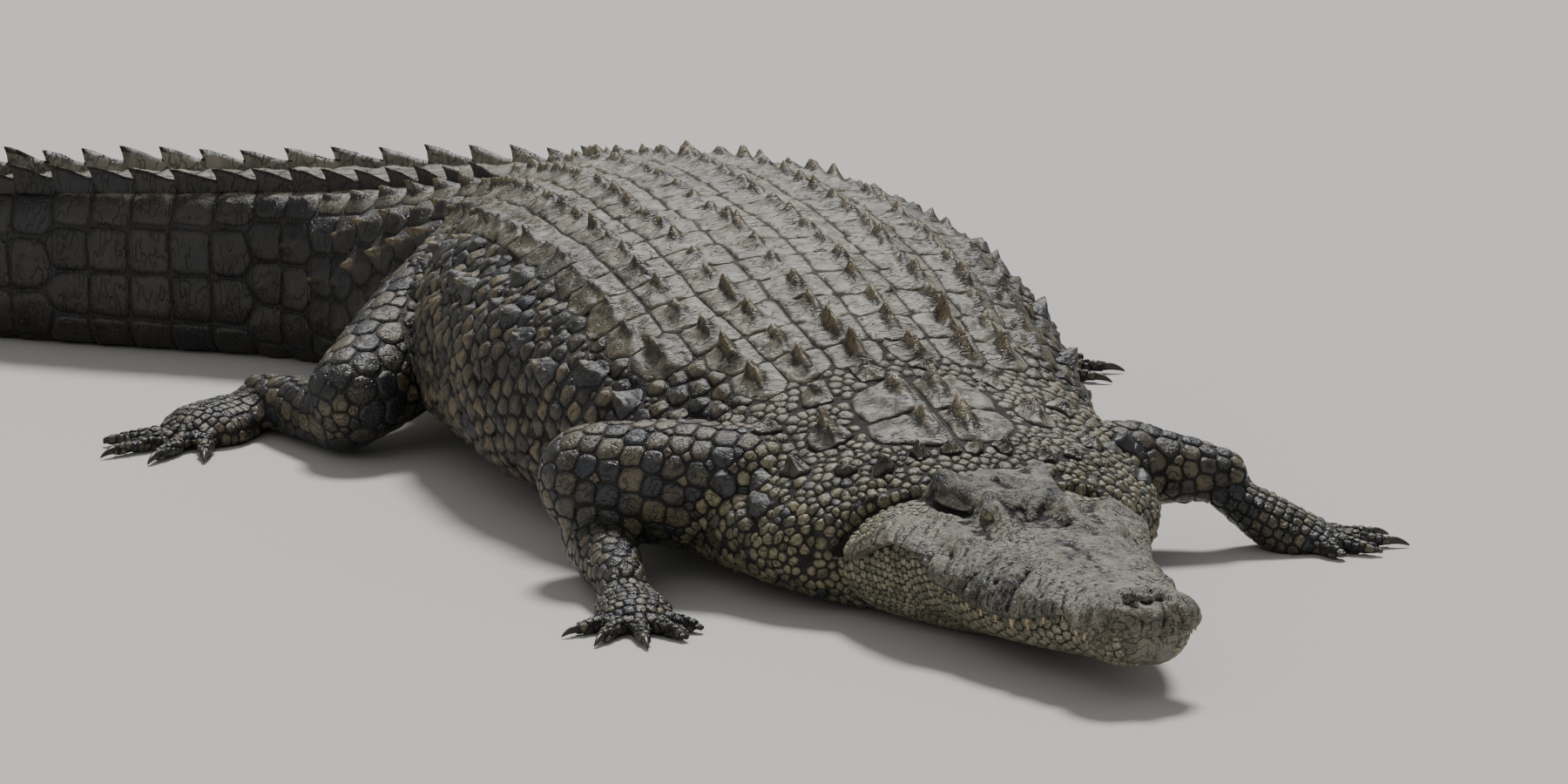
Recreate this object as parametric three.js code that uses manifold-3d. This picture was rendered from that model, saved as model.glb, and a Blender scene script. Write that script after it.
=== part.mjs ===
// Nile crocodile, adult, lying on its belly: a still museum-type model, whole from snout to tail tip.
// Millimetres, +Z up, floor at z = 0. The head points to -Y, the animal's left side is +X, and the
// origin is on the floor under the middle of the trunk.
import * as THREE from "three";
import { mergeVertices } from "three/addons/utils/BufferGeometryUtils.js";
import Module from "manifold-3d";

const wasm = await Module();
wasm.setup();

// ---- Driving dimensions ----------------------------------------------------------------------
const LENGTH = 4300; // snout tip to tail tip, along the back
const ORIGIN_STATION = 1450; // the station that stands over the origin
const ORIGIN_X = 6; // sideways shift that puts the spine over the origin there
const GAP = 0.3; // thin parting between neighbouring pieces
const NECK_START = 632; // the collar fold behind the jaws
const DORSAL_ROWS = 18; // cross rows of plates on the back
const DORSAL_FIRST = 985; // station of the front row
const DORSAL_PITCH = 68;
const KEEL_LENGTH = 46;
const KEEL_WIDTH = 26;
const WHORL_FIRST = 2200; // station of the first ring of tail scales
const WHORLS = 36; // rings of tail scales
const DOUBLE_WHORLS = 20; // rings that carry two crest scutes, the rest carry one
const WHORL_LONGEST = 69; // length of the first ring
const WHORL_SHORTEST = 47; // length of the last
const SIDES = 18; // corners of a section of the trunk or tail
const EYE_RADIUS = 15;
const EYE_STATION = 426;
const EYE_OUT = 58; // from the middle line
const EYE_HEIGHT = 178;
const EAR_FROM = 474;
const EAR_TO = 556;
const MOUTH_GAP = 0.5; // from the line of the lips to either jaw
const CLAW_LENGTH = 32; // beyond the tip of the finger

const deg = Math.PI / 180;

// A smooth curve through [station, value] pairs that never overshoots between them.
function curve(pairs) {
  const x = pairs.map((p) => p[0]);
  const y = pairs.map((p) => p[1]);
  const last = x.length - 1;
  const rise = x.slice(1).map((v, i) => (y[i + 1] - y[i]) / (v - x[i]));
  const slope = y.map((_, i) => {
    if (i === 0 || i === last) return 0;
    const product = rise[i - 1] * rise[i];
    return product <= 0 ? 0 : (2 * product) / (rise[i - 1] + rise[i]);
  });
  return (s) => {
    if (s <= x[0]) return y[0];
    if (s >= x[last]) return y[last];
    const i = x.findIndex((v) => v > s) - 1;
    const h = x[i + 1] - x[i];
    const t = (s - x[i]) / h;
    const blend = t * t * (3 - 2 * t);
    const inSlope = t * (1 - t) * (1 - t) * h * slope[i];
    const outSlope = t * t * (t - 1) * h * slope[i + 1];
    return y[i] + (y[i + 1] - y[i]) * blend + inSlope + outSlope;
  };
}

// ---- The line of the back, seen from above ---------------------------------------------------
// Heading of the tailward direction, degrees from +Y towards the animal's right.
const heading = curve([
  [0, 1], [200, 0], [410, -1.8], [600, -3.5], [1000, 1.9], [1450, -3.1], [2000, 3.2],
  [2200, 13], [2400, 25], [2600, 42], [2800, 55], [3000, 52], [3200, 49], [3700, 36], [LENGTH, 18],
]);
const SPINE_STEP = 5;
const spine = [new THREE.Vector2(0, 0)];
for (let s = 0; s < LENGTH + 100; s += SPINE_STEP) {
  const a = heading(s + SPINE_STEP / 2) * deg;
  const step = new THREE.Vector2(-Math.sin(a), Math.cos(a)).multiplyScalar(SPINE_STEP);
  spine.push(spine.at(-1).clone().add(step));
}
function along(s) {
  const i = Math.min(Math.floor(s / SPINE_STEP), spine.length - 2);
  return spine[i].clone().lerp(spine[i + 1], s / SPINE_STEP - i);
}
const shift = along(ORIGIN_STATION).sub(new THREE.Vector2(ORIGIN_X, 0));

// A point x to the animal's left of the spine at station s, z above the floor.
function place(s, x, z) {
  const o = along(s).sub(shift);
  const a = heading(s) * deg;
  return new THREE.Vector3(o.x + x * Math.cos(a), o.y + x * Math.sin(a), z);
}

// ---- Cross sections --------------------------------------------------------------------------
// Half-width at the widest level, from the rounded snout to the tail tip.
const halfWidth = curve([
  [0, 18], [8, 46], [25, 72], [55, 90], [85, 90], [112, 86], [150, 101], [200, 117], [250, 131],
  [300, 143], [350, 153], [400, 165], [450, 179], [500, 192], [550, 203], [600, 211], [625, 208],
  [645, 226], [680, 268], [730, 304], [800, 324], [900, 336], [1000, 350], [1150, 386], [1330, 418],
  [1500, 430], [1700, 422], [1850, 392], [2000, 330], [2100, 284], [2200, 250], [2350, 222],
  [2475, 202], [2600, 164], [2730, 134], [3020, 108], [3300, 86], [3600, 64], [3900, 44],
  [4150, 24], [LENGTH, 7],
]);
const topHeight = curve([
  [0, 112], [12, 128], [35, 140], [60, 146], [95, 143], [150, 146], [200, 151], [300, 161],
  [350, 166], [400, 170], [600, 178], [632, 184], [680, 204], [750, 224], [824, 236], [900, 262],
  [1000, 296], [1118, 334], [1300, 376], [1500, 396], [1758, 402], [1900, 394], [2000, 380],
  [2100, 360], [2200, 336], [2400, 296], [2600, 268], [2800, 252], [3000, 242], [3200, 224],
  [3500, 184], [3800, 134], [4100, 78], [LENGTH, 26],
]);
// Height of the lips in the head, and of the widest level behind it.
const midHeight = curve([
  [0, 97], [60, 101], [112, 108], [170, 95], [230, 86], [290, 90], [340, 97], [378, 102],
  [405, 122], [430, 136], [465, 140], [525, 122], [570, 98], [620, 86], [680, 88], [750, 90],
  [900, 100], [1100, 125], [1500, 145], [1900, 140], [2200, 130], [2600, 120], [3000, 112],
  [3500, 84], [4000, 44], [LENGTH, 12],
]);
const bottomHeight = curve([
  [0, 66], [20, 54], [60, 47], [200, 36], [400, 14], [520, -4], [700, -10], [1000, -14],
  [2000, -14], [2600, -9], [3600, -6], [LENGTH, -3],
]);
// How far the lower jaw stays inside the lips.
const jawInset = curve([[0, 12], [60, 16], [300, 18], [420, 20], [540, 16], [620, 4], [660, 0]]);
// Exponent of each quarter of the section: 2 is an ellipse, more is squarer.
const upperPower = curve([
  [0, 2.2], [60, 2.5], [300, 2.2], [450, 1.75], [600, 1.8], [700, 1.9], [824, 1.95],
  [1118, 2.2], [1500, 2.5], [1900, 2.5], [2200, 2.5], [2500, 3.0], [2800, 4.2], [3200, 4.2],
  [3500, 3.0], [LENGTH, 2.0],
]);
const lowerPower = curve([
  [0, 2.4], [500, 2.4], [700, 2.3], [1000, 2.5], [2000, 2.5], [2800, 3.2], [LENGTH, 2.2],
]);

// Raised and hollow places of the head and nape: station, sideways place, their two radii, height.
const RELIEF = [
  [38, 0, 32, 42, 9], // disc of the nostrils
  [30, 20, 14, 12, 4], // nostril rim
  [425, 52, 36, 18, 30], // brow over each eye
  [372, 42, 22, 13, 8], // bumps before the eye
  [425, 0, 50, 28, -8], // hollow between the eyes
  [200, 72, 50, 24, 5], // swelling over the long cheek teeth
  [540, 165, 60, 40, 12], // jaw muscle
  [590, 72, 24, 15, 12], // raised rear corner of the skull table
  [824, 0, 90, 120, 10], // nape shield
];
const TABLE_HEIGHT = 26; // of the skull table over the cheeks
const smooth = (low, high, v) => THREE.MathUtils.smoothstep(v, low, high);
function relief(s, x) {
  let z = 0;
  for (const [at, out, rs, rx, height] of RELIEF) {
    const side = (Math.abs(x) - out) / rx;
    z += height * Math.exp(-(((s - at) / rs) ** 2) - side * side);
  }
  const tableWidth = 60 + 20 * smooth(430, 590, s);
  const table = smooth(435, 475, s) * (1 - smooth(600, 624, s));
  const edge = 1 - smooth(tableWidth - 8, tableWidth + 16, Math.abs(x));
  return z + TABLE_HEIGHT * table * edge;
}

// The outline of the section at station s: turn 0 is the left lip or flank, 90 the back, 180 the
// right side and 270 the belly. grow adds the same thickness all round.
function outline(s, turn, grow = 0) {
  const under = turn > 180;
  const power = 2 / (under ? lowerPower(s) : upperPower(s));
  const c = Math.cos(turn * deg);
  const v = Math.sin(turn * deg);
  const mid = midHeight(s);
  const inset = under ? jawInset(s) : 0;
  const x = (halfWidth(s) - inset + grow) * Math.sign(c) * Math.abs(c) ** power;
  if (under) {
    const z = mid - (mid - bottomHeight(s) + grow) * Math.abs(v) ** power;
    return [x, Math.max(z, 0)];
  }
  const rise = Math.abs(v) ** power;
  return [x, mid + (topHeight(s) - mid + grow) * rise + relief(s, x) * Math.min(1, rise * 3)];
}

// Height of the back over a sideways place x.
function backHeight(s, x) {
  const ratio = Math.min(0.999, Math.abs(x) / halfWidth(s));
  const rise = (1 - ratio ** upperPower(s)) ** (1 / upperPower(s));
  const mid = midHeight(s);
  return mid + (topHeight(s) - mid) * rise + relief(s, x);
}

// ---- Closed solids ---------------------------------------------------------------------------
function solid(geometry) {
  const bare = geometry.clone();
  bare.deleteAttribute("normal");
  bare.deleteAttribute("uv");
  const merged = mergeVertices(bare, 1e-3);
  return new wasm.Manifold(new wasm.Mesh({
    numProp: 3,
    vertProperties: new Float32Array(merged.attributes.position.array),
    triVerts: new Uint32Array(merged.index.array),
  }));
}

// The solid of these points and triangles, its faces turned outward.
function outward(points, index) {
  const geometry = new THREE.BufferGeometry().setFromPoints(points);
  geometry.setIndex(index);
  const made = solid(geometry);
  if (made.volume() >= 0) return made;
  geometry.setIndex(index.reverse());
  return solid(geometry);
}

// A closed solid through rings of points, with a flat cap at each end.
function loft(rings) {
  const n = rings[0].length;
  const points = rings.flat();
  const centre = (ring) => ring.reduce((sum, p) => sum.add(p), new THREE.Vector3()).divideScalar(n);
  points.push(centre(rings[0]), centre(rings.at(-1)));
  const first = points.length - 2;
  const endRing = (rings.length - 1) * n;
  const index = [];
  for (let i = 0; i < n; i++) {
    const j = (i + 1) % n;
    index.push(first, i, j, first + 1, endRing + j, endRing + i);
    for (let r = 0; r < rings.length - 1; r++) {
      const a = r * n;
      const b = a + n;
      index.push(a + i, b + i, b + j, a + i, b + j, a + j);
    }
  }
  return outward(points, index);
}

// A closed solid from a ring of corners to one tip.
function pyramid(corners, tip) {
  const n = corners.length;
  const index = [];
  for (let i = 1; i < n - 1; i++) index.push(0, i + 1, i);
  for (let i = 0; i < n; i++) index.push(i, (i + 1) % n, n);
  return outward([...corners, tip], index);
}

function stations(from, to, step) {
  const count = Math.max(1, Math.round((to - from) / step));
  return Array.from({ length: count + 1 }, (_, i) => from + ((to - from) * i) / count);
}

// A length of the body between two stations.
function bodyLength(from, to, step, grow = 0) {
  const turns = Array.from({ length: SIDES }, (_, i) => (360 * i) / SIDES);
  return loft(stations(from, to, step).map((s) => turns.map((turn) => {
    const [x, z] = outline(s, turn, grow);
    return place(s, x, z);
  })));
}

// A tapered limb piece from one joint to the next, round-ended, no lower than the floor. flat is
// its thickness over its width. back and ahead are the angles of the rings that round its ends.
// Digits and palms are plain: fewer rings.
const LIMB_SWELL = 0.06; // how much thicker a limb is half way, as a share
const FULL = { back: [-76, -38], body: [0, 0.5, 1], ahead: [38, 76] };
const PLAIN = { back: [-55], body: [0, 1], ahead: [55] };
function limb(from, to, startRadius, endRadius, grow = 0, sides = 10, flat = 1, detail = FULL) {
  const a = new THREE.Vector3(...from);
  const axis = new THREE.Vector3(...to).sub(a);
  const length = axis.length();
  axis.normalize();
  const side = new THREE.Vector3(0, 0, 1).cross(axis).normalize();
  const up = axis.clone().cross(side).multiplyScalar(flat);
  const ring = (t, radius) => Array.from({ length: sides }, (_, i) => {
    const turn = (i / sides) * 2 * Math.PI;
    const p = a.clone().addScaledVector(axis, t);
    p.addScaledVector(side, Math.cos(turn) * radius).addScaledVector(up, Math.sin(turn) * radius);
    p.z = Math.max(p.z, 0);
    return p;
  });
  const rings = [];
  for (const angle of detail.back) {
    const back = startRadius * flat * Math.sin(angle * deg);
    rings.push(ring(back - grow, startRadius * Math.cos(angle * deg) + grow));
  }
  for (const t of detail.body) {
    const swell = 1 + LIMB_SWELL * Math.sin(t * Math.PI);
    rings.push(ring(t * length, THREE.MathUtils.lerp(startRadius, endRadius, t) * swell + grow));
  }
  for (const angle of detail.ahead) {
    const ahead = length + endRadius * flat * Math.sin(angle * deg);
    rings.push(ring(ahead + grow, endRadius * Math.cos(angle * deg) + grow));
  }
  return loft(rings);
}

// A keel: a three-sided pyramid with its tip leaning tailward, sunk into the skin.
const KEEL_SUNK = 8;
const KEEL_LEAN = 0.28; // how far tailward the tip stands, as a share of the length
function keel(s, x, length, width, height) {
  const z = backHeight(s, x);
  const corners = [[-1, 0], [0.7, 1], [0.7, -1]].map(([u, v]) => {
    const at = s + (u * length) / 2;
    const out = x + (v * width) / 2;
    return place(at, out, z - KEEL_SUNK);
  });
  return pyramid(corners, place(s + length * KEEL_LEAN, x * 1.01, z + height));
}

// A crest scute of the tail: a thin upright flap that leans back over the next one.
const SCUTE_SUNK = 10;
const SCUTE_THICK = 7; // half of it, at the foot of the tailward end
function crestScute(s, x, length, height) {
  const z = backHeight(s, x);
  const section = (at, thick, high) => [
    place(at, x - thick, z - SCUTE_SUNK),
    place(at, x + thick, z - SCUTE_SUNK),
    place(at + (high + SCUTE_SUNK) * 0.25, x, z + high),
  ];
  return loft([
    section(s - length * 0.48, SCUTE_THICK * 0.6, 3),
    section(s + length * 0.34, SCUTE_THICK, height),
  ]);
}

// ---- The body, in lengths --------------------------------------------------------------------
const group = new THREE.Group();
const SKIN = { color: 0x76705a, roughness: 0.62, metalness: 0 };
const HORN = { color: 0x2e2b26, roughness: 0.4, metalness: 0 };
const EYE = { color: 0x6b6a3a, roughness: 0.12, metalness: 0 };
const EAR = { color: 0x5c5645, roughness: 0.6, metalness: 0 };

function add(name, made, look) {
  const mesh = made.getMesh();
  const positions = new Float32Array(mesh.numVert * 3);
  for (let i = 0; i < mesh.numVert; i++) {
    positions.set(mesh.vertProperties.subarray(i * mesh.numProp, i * mesh.numProp + 3), i * 3);
  }
  const geometry = new THREE.BufferGeometry();
  geometry.setAttribute("position", new THREE.BufferAttribute(positions, 3));
  geometry.setIndex(new THREE.BufferAttribute(mesh.triVerts, 1));
  geometry.computeVertexNormals();
  const piece = new THREE.Mesh(geometry, new THREE.MeshStandardMaterial(look));
  piece.name = name;
  group.add(piece);
}

// Rings of tail scales: each one's middle station and length.
const whorls = [];
for (let i = 0, s = WHORL_FIRST; i < WHORLS; i++) {
  const length = THREE.MathUtils.lerp(WHORL_LONGEST, WHORL_SHORTEST, i / (WHORLS - 1));
  whorls.push({ index: i, middle: s + length / 2, length, start: s });
  s += length;
}
const crestOut = curve([[2200, 100], [2475, 96], [2750, 78], [3100, 66], [3400, 34], [3560, 12]]);
const crestHeight = curve([
  [2200, 18], [2475, 28], [2750, 38], [3100, 44], [3500, 50], [3650, 66], [4000, 52], [4250, 20],
]);

// Keels of the back stand in pairs of lengthwise rows that spread with the trunk. The outer pair
// is on every second cross row. The widest place that they spread to is given in millimetres.
const KEEL_PLACES = [0.12, 0.35, 0.54];
const KEEL_SPREAD = 400;
const keelHeight = curve([[0, 26], [2, 18], [9, 16], [17, 18]]);
// Keels of the nape: station, sideways place, length, width, height.
const NAPE_KEELS = [
  [775, 48, 58, 30, 26], [850, 46, 58, 30, 26], [812, 140, 58, 30, 26], [700, 60, 28, 18, 14],
  [690, 118, 28, 18, 14],
];

const lengths = [
  ["neck", NECK_START, 950, 53], ["chest", 950, 1290, 85], ["belly", 1290, 1630, 113],
  ["pelvis", 1630, WHORL_FIRST, 81],
];
const TAIL_BREAKS = [0, 5, 10, 15, 20, 27, WHORLS];
TAIL_BREAKS.slice(1).forEach((end, i) => {
  const from = whorls[TAIL_BREAKS[i]].start;
  const to = end === WHORLS ? LENGTH : whorls[end].start;
  lengths.push([`tail_${i + 1}`, from, to, 90]);
});

let trunkGrown = null; // the lengths that a leg may touch, thicker by the gap
for (const [name, from, to, step] of lengths) {
  const first = from + GAP / 2;
  const last = to === LENGTH ? to : to - GAP / 2;
  let made = bodyLength(first, last, step);
  if (from <= WHORL_FIRST) {
    const grown = bodyLength(first - GAP, last + GAP, step, GAP);
    trunkGrown = trunkGrown ? trunkGrown.add(grown) : grown;
  }
  for (const w of whorls) {
    if (w.middle < from || w.middle > to) continue;
    const sides = w.index < DOUBLE_WHORLS ? [-1, 1] : [0];
    for (const side of sides) {
      const out = side * crestOut(w.middle);
      made = made.add(crestScute(w.middle, out, w.length * 0.94, crestHeight(w.middle)));
    }
  }
  for (let i = 0; i < DORSAL_ROWS; i++) {
    const s = DORSAL_FIRST + i * DORSAL_PITCH;
    if (s < from + 20 || s > to - 20) continue;
    for (const share of KEEL_PLACES) {
      if (share === KEEL_PLACES.at(-1) && i % 2) continue;
      const out = share * Math.min(halfWidth(s), KEEL_SPREAD);
      for (const side of [-1, 1]) {
        made = made.add(keel(s, side * out, KEEL_LENGTH, KEEL_WIDTH, keelHeight(i)));
      }
    }
  }
  for (const [s, out, length, width, height] of name === "neck" ? NAPE_KEELS : []) {
    for (const side of [-1, 1]) made = made.add(keel(s, side * out, length, width, height));
  }
  add(name, made, SKIN);
}

// ---- Head, lower jaw, teeth, eyes and ear flaps ----------------------------------------------
const HEAD_STEP = 30;
const UPPER_TURNS = [0, 10, 24, 40, 54, 66, 76, 84, 90, 96, 104, 114, 126, 140, 156, 170, 180];
const LOWER_TURNS = [180, 194, 214, 238, 270, 302, 326, 346, 360];
const JAW_START = 26; // the lower jaw begins behind the tip of the snout
function headHalf(upper) {
  const turns = upper ? UPPER_TURNS : LOWER_TURNS;
  const first = upper ? 0 : JAW_START;
  const behind = stations(first + 45, NECK_START - GAP / 2, HEAD_STEP);
  return loft([first, first + 9, first + 24, ...behind].map((s) => turns.map((turn) => {
    const [x, z] = outline(s, upper ? turn : THREE.MathUtils.clamp(turn, 180.01, 359.99));
    const lip = turn % 180 === 0;
    return place(s, x, lip ? midHeight(s) + (upper ? MOUTH_GAP : -MOUTH_GAP) : z);
  })));
}
let head = headHalf(true);
let jaw = headHalf(false);

// Teeth of the upper jaw stand outside the lower lip, largest at the swelling of the cheek. grow
// makes the room for one in the lower jaw.
const toothSize = curve([
  [20, 5], [60, 8], [115, 4], [170, 8], [195, 11], [260, 7], [330, 8], [430, 6],
]);
function tooth(s, side, grow = 0) {
  const size = toothSize(s) + grow;
  const x = side * (halfWidth(s) - 5 - size * 0.4);
  const z = midHeight(s);
  const half = size * 0.45 + grow;
  const corners = [[-1, -1], [1, -1], [0, 1]].map(
    ([u, v]) => place(s + u * half, x + v * half * side, z + 6),
  );
  return pyramid(corners, place(s + 1, x + side, z - size * 1.35 - 3 * grow));
}
for (let s = 24; s < 440; s += s < 120 ? 24 : 32) {
  for (const side of [-1, 1]) {
    head = head.add(tooth(s, side));
    jaw = jaw.subtract(tooth(s, side, GAP));
  }
}

for (const [word, side] of [["right", -1], ["left", 1]]) {
  const centre = place(EYE_STATION, side * EYE_OUT, EYE_HEIGHT);
  const ball = (radius) => {
    const sphere = new THREE.SphereGeometry(radius, 10, 8);
    return solid(sphere.translate(...centre));
  };
  head = head.subtract(ball(EYE_RADIUS + GAP));
  add(`eye_${word}`, ball(EYE_RADIUS), EYE);

  const flap = (grow) => loft(stations(EAR_FROM - grow, EAR_TO + grow, 20).map((s) => {
    const t = (s - EAR_FROM + grow) / (EAR_TO - EAR_FROM + 2 * grow);
    const swell = 0.25 + 0.75 * Math.sin(Math.PI * t);
    const x = side * (78 + 14 * t);
    const z = 180 + 4 * t;
    const half = (7 + grow) * swell;
    const depth = (3.5 + grow) * swell;
    return Array.from({ length: 6 }, (_, i) => {
      const a = (i / 6) * 2 * Math.PI;
      return place(s, x + side * depth * Math.cos(a), z + half * Math.sin(a));
    });
  }));
  head = head.subtract(flap(GAP));
  add(`ear_flap_${word}`, flap(0), EAR);
}
add("head", head, SKIN);
add("lower_jaw", jaw, SKIN);

// ---- Legs ------------------------------------------------------------------------------------
// Joints of each leg: root in the trunk, elbow or knee, top of the forearm or shank, wrist or
// ankle, middle of the sole. Radii: at the root, the bend, the forearm's top and the cuff.
const DIGIT_RADII = [15, 9]; // at the root and the tip of a finger or toe
// Digits: how far each spreads from the way the foot points, in degrees, and its length.
const largest = (made) => made.decompose().sort((a, b) => b.volume() - a.volume())[0];

function leg(words, joints, radii, sole, digits) {
  const [root, bend, low, cuff, pad] = joints;
  const upper = (grow) => limb(root, bend, radii[0], radii[1], grow);
  const lower = (grow) => limb(low, cuff, radii[2], radii[3], grow);
  const forward = Math.atan2(pad[1] - cuff[1], pad[0] - cuff[0]);
  const digitEnds = digits.map(([spread, length]) => {
    const turn = forward + spread * deg;
    const way = [Math.cos(turn), Math.sin(turn)];
    const start = [pad[0] + sole * 0.4 * way[0], pad[1] + sole * 0.4 * way[1], DIGIT_RADII[0]];
    const tip = [start[0] + length * way[0], start[1] + length * way[1], DIGIT_RADII[1]];
    return { start, tip, turn };
  });
  const hand = (grow) => {
    const heel = [cuff[0], cuff[1], cuff[2] * 0.8];
    let made = limb(heel, pad, radii[3], sole * 0.62, grow, 8, 0.55, PLAIN);
    for (const { start, tip } of digitEnds) {
      made = made.add(limb(start, tip, ...DIGIT_RADII, grow, 5, 1, PLAIN));
    }
    return made;
  };
  const trunkAndUpper = trunkGrown.add(upper(GAP));
  add(words[0], largest(upper(0).subtract(trunkGrown)), SKIN);
  add(words[1], largest(lower(0).subtract(trunkAndUpper)), SKIN);
  add(words[2], largest(hand(0).subtract(lower(GAP)).subtract(trunkAndUpper)), SKIN);
  const handGrown = hand(GAP);
  digitEnds.slice(0, 3).forEach(({ tip, turn }, i) => {
    const out = (ahead, aside, z) => new THREE.Vector3(
      tip[0] + ahead * Math.cos(turn) - aside * Math.sin(turn),
      tip[1] + ahead * Math.sin(turn) + aside * Math.cos(turn),
      z,
    );
    const root = [out(-6, -5, 5), out(-6, 5, 5), out(-6, 5, 14), out(-6, -5, 14)];
    const claw = pyramid(root, out(CLAW_LENGTH, 0, 1.5));
    add(`${words[3]}_${i + 1}`, largest(claw.subtract(handGrown)), HORN);
  });
}

const FORE_SOLE = 92; // breadth of the palm
const HIND_SOLE = 112;
const FORE_DIGITS = [[62, 62], [32, 84], [4, 92], [-24, 84], [-52, 64]];
const HIND_DIGITS = [[38, 96], [14, 124], [-10, 128], [-34, 104]];
const HIND_RADII = [106, 74, 52, 38];
const flip = (digits) => digits.map(([spread, length]) => [-spread, length]);
leg(["upper_arm_right", "forearm_right", "hand_right", "claw_hand_right"],
  [[-225, -560, 138], [-414, -424, 136], [-418, -440, 58], [-462, -650, 42], [-478, -735, 16]],
  [88, 82, 52, 36], FORE_SOLE, flip(FORE_DIGITS));
leg(["upper_arm_left", "forearm_left", "hand_left", "claw_hand_left"],
  [[236, -572, 106], [345, -534, 120], [352, -537, 118], [462, -582, 104], [556, -626, 16]],
  [80, 62, 58, 38], FORE_SOLE, FORE_DIGITS);
leg(["thigh_right", "shank_right", "foot_right", "claw_foot_right"],
  [[-175, 640, 185], [-450, 416, 92], [-462, 430, 58], [-500, 672, 42], [-606, 610, 16]],
  HIND_RADII, HIND_SOLE, HIND_DIGITS);
leg(["thigh_left", "shank_left", "foot_left", "claw_foot_left"],
  [[175, 640, 185], [450, 430, 92], [462, 444, 58], [505, 680, 42], [610, 616, 16]],
  HIND_RADII, HIND_SOLE, flip(HIND_DIGITS));

export default group;
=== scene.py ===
import math
import bmesh
import bpy
import numpy as np
from mathutils import Matrix, Vector, noise
from mathutils.bvhtree import BVHTree


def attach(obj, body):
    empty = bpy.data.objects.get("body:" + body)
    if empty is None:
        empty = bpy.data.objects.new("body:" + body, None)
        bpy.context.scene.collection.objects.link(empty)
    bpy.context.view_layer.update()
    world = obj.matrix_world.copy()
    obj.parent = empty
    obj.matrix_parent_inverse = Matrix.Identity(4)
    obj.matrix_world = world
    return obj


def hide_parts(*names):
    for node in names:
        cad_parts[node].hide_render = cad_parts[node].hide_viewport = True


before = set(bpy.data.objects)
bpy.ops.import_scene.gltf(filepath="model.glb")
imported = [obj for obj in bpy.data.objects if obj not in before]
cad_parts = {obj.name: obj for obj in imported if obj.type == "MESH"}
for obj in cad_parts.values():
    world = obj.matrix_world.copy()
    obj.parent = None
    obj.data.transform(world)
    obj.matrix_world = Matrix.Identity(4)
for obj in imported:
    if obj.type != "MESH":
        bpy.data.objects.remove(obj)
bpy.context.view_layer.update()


# ---- The hide of head, neck, trunk and tail ----
# One unbroken skin, drawn over the trunk from the snout to the tip of the tail. It is bare and
# mud-dried on the head, and everywhere else it is the bed that the scales grow from.
# Lengths are in millimetres until they are placed. A station is the distance along the spine from
# the tip of the snout.
MM = 0.001
LENGTH = 4300
ORIGIN_STATION, ORIGIN_X = 1450, 6
SPINE_STEP = 5
COAT = 5.0
NOSE_HEIGHT, TAIL_TIP_HEIGHT = 110.0, 14
# How far above the floor the skin stays.
LOWEST = 2.0


def curve(pairs):
    """A smooth curve through (station, value) pairs that never overshoots between them."""
    x, y = np.array(pairs, float).T
    rise = np.diff(y) / np.diff(x)
    slope = np.zeros(len(x))
    product = rise[:-1] * rise[1:]
    same = np.where(product > 0)[0]
    slope[same + 1] = 2 * product[same] / (rise[same] + rise[same + 1])

    def at(s):
        s = np.clip(s, x[0], x[-1])
        i = np.clip(np.searchsorted(x, s, side="right") - 1, 0, len(x) - 2)
        h = x[i + 1] - x[i]
        t = (s - x[i]) / h
        ease = t * t * (3 - 2 * t)
        ends = t * (1 - t) ** 2 * h * slope[i] + t * t * (t - 1) * h * slope[i + 1]
        return y[i] + (y[i + 1] - y[i]) * ease + ends

    return at


def ease(low, high, v):
    t = np.clip((v - low) / (high - low), 0, 1)
    return t * t * (3 - 2 * t)


heading = curve([
    (0, 1), (200, 0), (410, -1.8), (600, -3.5), (1000, 1.9), (1450, -3.1), (2000, 3.2), (2200, 13),
    (2400, 25), (2600, 42), (2800, 55), (3000, 52), (3200, 49), (3700, 36), (LENGTH, 18)])
half_width = curve([
    (0, 18), (8, 46), (25, 72), (55, 90), (85, 90), (112, 86), (150, 101), (200, 117), (250, 131),
    (300, 143), (350, 153), (400, 165), (450, 179), (500, 192), (550, 203), (600, 211), (625, 208),
    (645, 226), (680, 268), (730, 304), (800, 324), (900, 336), (1000, 350), (1150, 386),
    (1330, 418), (1500, 430), (1700, 422), (1850, 392), (2000, 330), (2100, 284), (2200, 250),
    (2350, 222), (2475, 202), (2600, 164), (2730, 134), (3020, 108), (3300, 86), (3600, 64),
    (3900, 44), (4150, 24), (LENGTH, 7)])
top_height = curve([
    (0, 112), (12, 128), (35, 140), (60, 146), (95, 143), (150, 146), (200, 151), (300, 161),
    (350, 166), (400, 170), (600, 178), (632, 184), (680, 204), (750, 224), (824, 236), (900, 262),
    (1000, 296), (1118, 334), (1300, 376), (1500, 396), (1758, 402), (1900, 394), (2000, 380),
    (2100, 360), (2200, 336), (2400, 296), (2600, 268), (2800, 252), (3000, 242), (3200, 224),
    (3500, 184), (3800, 134), (4100, 78), (LENGTH, 26)])
mid_height = curve([
    (0, 97), (60, 101), (112, 108), (170, 95), (230, 86), (290, 90), (340, 97), (378, 102),
    (405, 122), (430, 136), (465, 140), (525, 122), (570, 98), (620, 86), (680, 88), (750, 90),
    (900, 100), (1100, 125), (1500, 145), (1900, 140), (2200, 130), (2600, 120), (3000, 112),
    (3500, 84), (4000, 44), (LENGTH, 12)])
bottom_height = curve([
    (0, 66), (20, 54), (60, 47), (200, 36), (400, 14), (520, -4), (700, -10), (1000, -14),
    (2000, -14), (2600, -9), (3600, -6), (LENGTH, -3)])
jaw_inset = curve([(0, 12), (60, 16), (300, 18), (420, 20), (540, 16), (620, 4), (660, 0)])
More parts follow.
